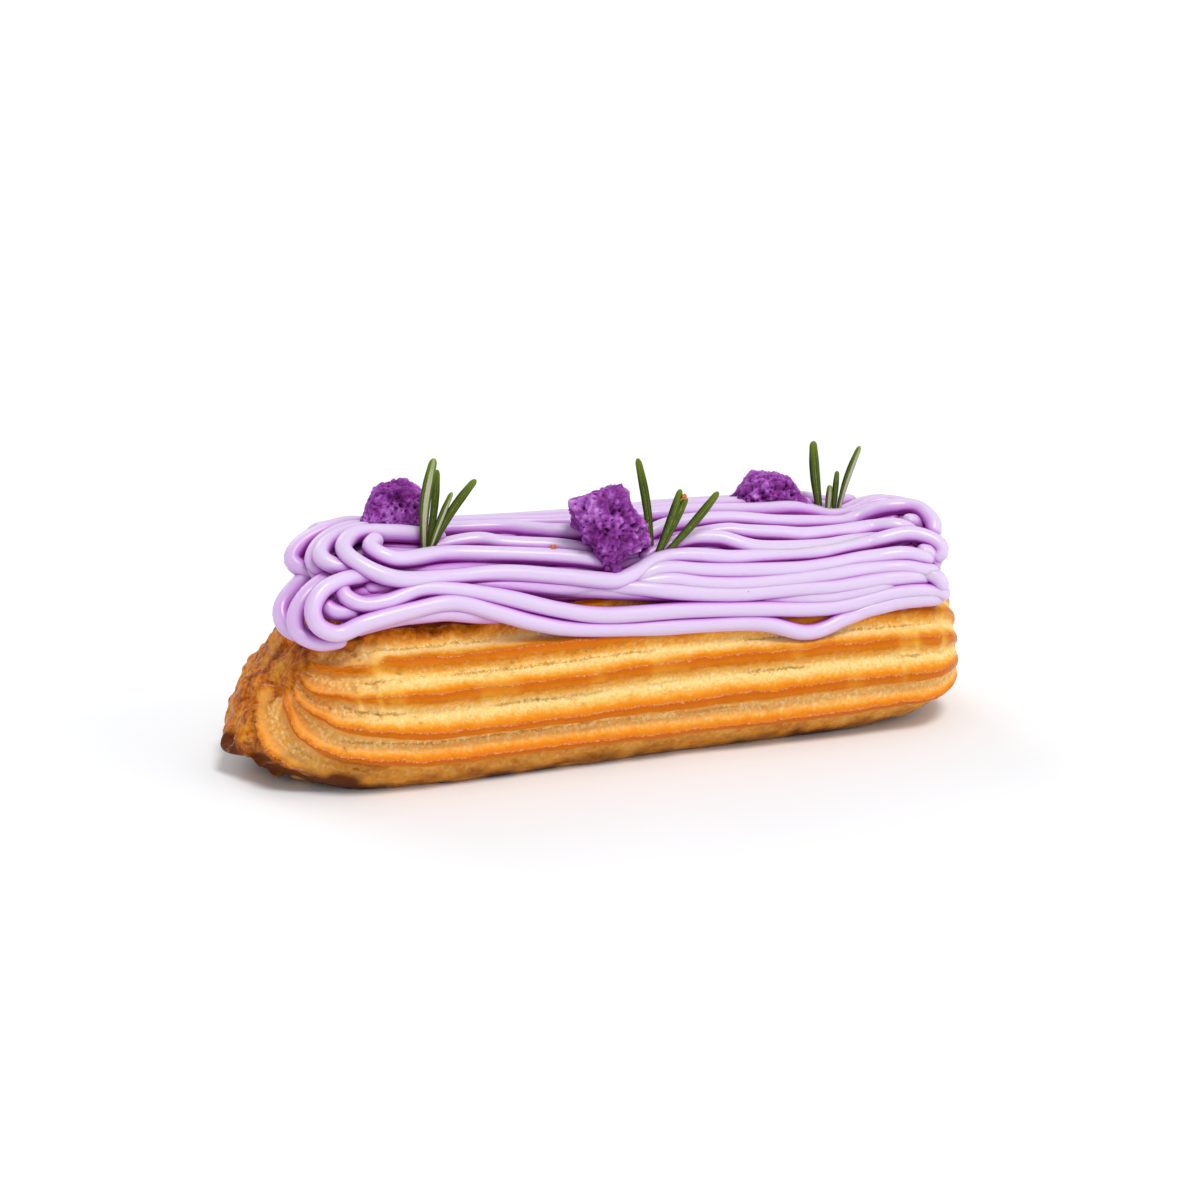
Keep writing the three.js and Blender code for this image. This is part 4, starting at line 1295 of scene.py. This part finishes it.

# %% [markdown]
# ### Lavender cream
#
# Light goes a little way into cream and comes out softer, so a plain matt colour would look like clay.
# Subsurface scattering gives the softness. On its own it leaves the shade in the creases grey, while real
# cream looks richer in colour in its shade, so that shade is painted into the colour: the stored depth,
# the sides of each strand and an Ambient Occlusion node turn the recesses and creases purple.


# %% Cream
def cream_material():
    """Buttery cream: pale lilac on the face, with painted shade of deeper purple on the sides of the strands,
    in the recesses and in the creases; soft light within it.
    """
    finish = Finish(
        "lavender cream",
        {"Roughness": 0.26, "Specular IOR Level": 0.45, "Subsurface Weight": 0.3,
         "Subsurface Radius": (1.0, 0.6, 1.0), "Subsurface Scale": 0.8 * MM},
    )
    lie = finish.attribute("lie", "Vector")
    streak = finish.grain(2.4, 0.5, lie)
    # Painted shade: the sides of a strand that turn away from the heap's outside are coloured more purple.
    flank_shade = finish.stretch(finish.axes(lie)["Y"], 0.85, -0.2, 0.0, 0.6)
    # Painted shade: the stored depth under the heap's face colours deeper cream more purple.
    depth = finish.plus(finish.times(finish.attribute("recess_shade"), 0.55), flank_shade)
    depth = finish.plus(depth, finish.sway(streak, 0.08))
    # Painted shade: an Ambient Occlusion node finds the creases between strands and turns them more purple.
    crease_shade = finish.nodes.new("ShaderNodeAmbientOcclusion")
    crease_shade.samples = 6
    crease_shade.inputs["Distance"].default_value = 1.6 * MM
    depth = finish.plus(depth, finish.stretch(crease_shade.outputs["AO"], 0.95, 0.25, 0.0, 0.75))
    cream = finish.ramp(
        depth,
        [(0.0, (222, 203, 234)), (0.3, (217, 180, 231)), (0.6, (209, 148, 224)), (0.85, (190, 104, 202)),
         (1.0, (158, 60, 160))],
    )
    cream = finish.mix(finish.specks(420, 0.08, 0.1), cream, (196, 130, 190))
    finish.bump(streak, 0.25, 0.08)
    return finish.colour(cream)


cream_finish = cream_material()
for piece in (near_cream, under_cream, crown_cream, loop_cream, far_cream, fold_cream, core_cream):
    piece.data.materials.append(cream_finish)

# %% [markdown]
# ### Purple cake
#
# Torn sponge looks lightest on the points of its crumb and darkest in its pores, where its shade falls.
# Shading alone can't show that on pieces this small, so how far each point stands out and how much of a
# pore it is are kept from the relief, and one ramp and one mask paint that light and shade into the colour.


# %% Cake
def cake_material():
    """Purple sponge: painted light, lilac, on raised crumb and painted shade, dark purple, in the pores."""
    finish = Finish(
        "purple cake crumb",
        {"Roughness": 0.75, "Specular IOR Level": 0.15, "Subsurface Weight": 0.25,
         "Subsurface Radius": (1.0, 0.4, 1.0), "Subsurface Scale": 0.6 * MM},
    )
    grain = finish.grain(1500, 0.5)
    # Painted light and shade: raised crumb is coloured lighter, hollows darker.
    raised = finish.plus(finish.attribute("lump"), finish.sway(grain, 0.25))
    crumb = finish.ramp(
        finish.stretch(raised, -0.7, 0.7),
        [(0.0, (70, 8, 68)), (0.25, (112, 35, 120)), (0.5, (143, 61, 154)), (0.72, (175, 101, 192)),
         (1.0, (208, 148, 218))],
    )
    # Painted shade in the pores.
    crumb = finish.mix(finish.times(finish.attribute("pits"), 0.8), crumb, (62, 6, 62))
    crumb = finish.mix(finish.specks(260, 0.12, 0.05), crumb, (196, 60, 110))
    finish.bump(grain, 0.5, 0.15)
    return finish.colour(crumb)


cake_finish = cake_material()
for name in cake_forms:
    bpy.data.objects[name + "_crumb"].data.materials.append(cake_finish)

# %% [markdown]
# ### Rosemary leaf
#
# The two faces of a needle differ: green above, pale below between dark rolled edges. Two materials would
# need the mesh cut in two, so each point stores where it lies across and through the leaf instead, and one
# finish picks the face and the colour from that.


# %% Rosemary leaf
def rosemary_material():
    """Rosemary: deep green above, lighter along the groove as a painted highlight, pale grey-green below
    with darker rolled edges.
    """
    finish = Finish("rosemary leaf", {"Roughness": 0.4, "Specular IOR Level": 0.25})
    leaf_place = finish.axes(finish.attribute("leaf", "Vector"))
    across = finish.math("ABSOLUTE", leaf_place["X"])
    grain = finish.grain(900, 0.5)
    # The pale stop in the middle of the upper face is a painted highlight along the groove.
    upper = finish.ramp(
        finish.plus(across, finish.sway(grain, 0.12)),
        [(0.0, (128, 142, 60)), (0.12, (60, 76, 8)), (0.5, (84, 100, 14)), (0.8, (54, 72, 4)),
         (1.0, (30, 44, 2))],
    )
    lower = finish.ramp(
        finish.plus(across, finish.sway(grain, 0.06)),
        [(0.0, (150, 152, 112)), (0.1, (186, 188, 158)), (0.42, (168, 172, 132)), (0.52, (44, 54, 6)),
         (0.66, (92, 112, 14)), (1.0, (44, 62, 4))],
    )
    leaf = finish.mix(finish.stretch(leaf_place["Y"], 0.1, -0.1), upper, lower)
    leaf = finish.mix(finish.stretch(leaf_place["Z"], 0.75, 1.0, 0.0, 0.6), leaf, (120, 140, 18))  # young tip
    finish.bump(grain, 0.3, 0.08)
    return finish.colour(leaf)


rosemary_finish = rosemary_material()
for name in sprigs:
    bpy.data.objects[name + "_needles"].data.materials.append(rosemary_finish)

# %% [markdown]
# ## Floor and light
#
# The eclair stands on plain white. Area lights would need placing by eye, and a sun only needs a direction
# and a softness. A soft one from above and in front draws the broad shine along the strands, a weaker one
# from the right fills the shade, one from behind lights the far edge, and a bright world keeps the shadows
# pale.

# %% Floor and light
FLOOR_HALF = 6.0
floor_mesh = bpy.data.meshes.new("floor")
floor_corners = [(x * FLOOR_HALF, y * FLOOR_HALF, 0) for x, y in ((-1, -1), (1, -1), (1, 1), (-1, 1))]
floor_mesh.from_pydata(floor_corners, [], [(0, 1, 2, 3)])
floor = bpy.data.objects.new("floor", floor_mesh)
bpy.context.scene.collection.objects.link(floor)
floor_finish = bpy.data.materials.new("white table")
floor_finish.use_nodes = True
floor_shader = floor_finish.node_tree.nodes["Principled BSDF"].inputs
floor_shader["Base Color"].default_value = (0.93, 0.95, 0.97, 1)
floor_shader["Roughness"].default_value = 0.9
floor_mesh.materials.append(floor_finish)


def soft_sun(name, towards, power, softness):
    """A sun whose light comes from the given direction; softness is its apparent size in degrees."""
    data = bpy.data.lights.new(name, "SUN")
    data.energy = power
    data.angle = np.radians(softness)
    light = bpy.data.objects.new(name, data)
    light.rotation_euler = Vector(towards).to_track_quat("Z", "Y").to_euler()
    bpy.context.scene.collection.objects.link(light)
    print("light", name, "strength", power)


soft_sun("key", (0.1, -0.55, 1.0), 1.5, 18)
soft_sun("side", (0.8, -0.6, 0.5), 0.45, 40)
soft_sun("back", (-0.3, 0.9, 0.7), 0.5, 30)

world = bpy.data.worlds.new("white room")
world.use_nodes = True
world.node_tree.nodes["Background"].inputs["Color"].default_value = (1, 1, 1, 1)
world.node_tree.nodes["Background"].inputs["Strength"].default_value = 0.55
bpy.context.scene.world = world
bpy.context.scene.view_settings.view_transform = "Standard"
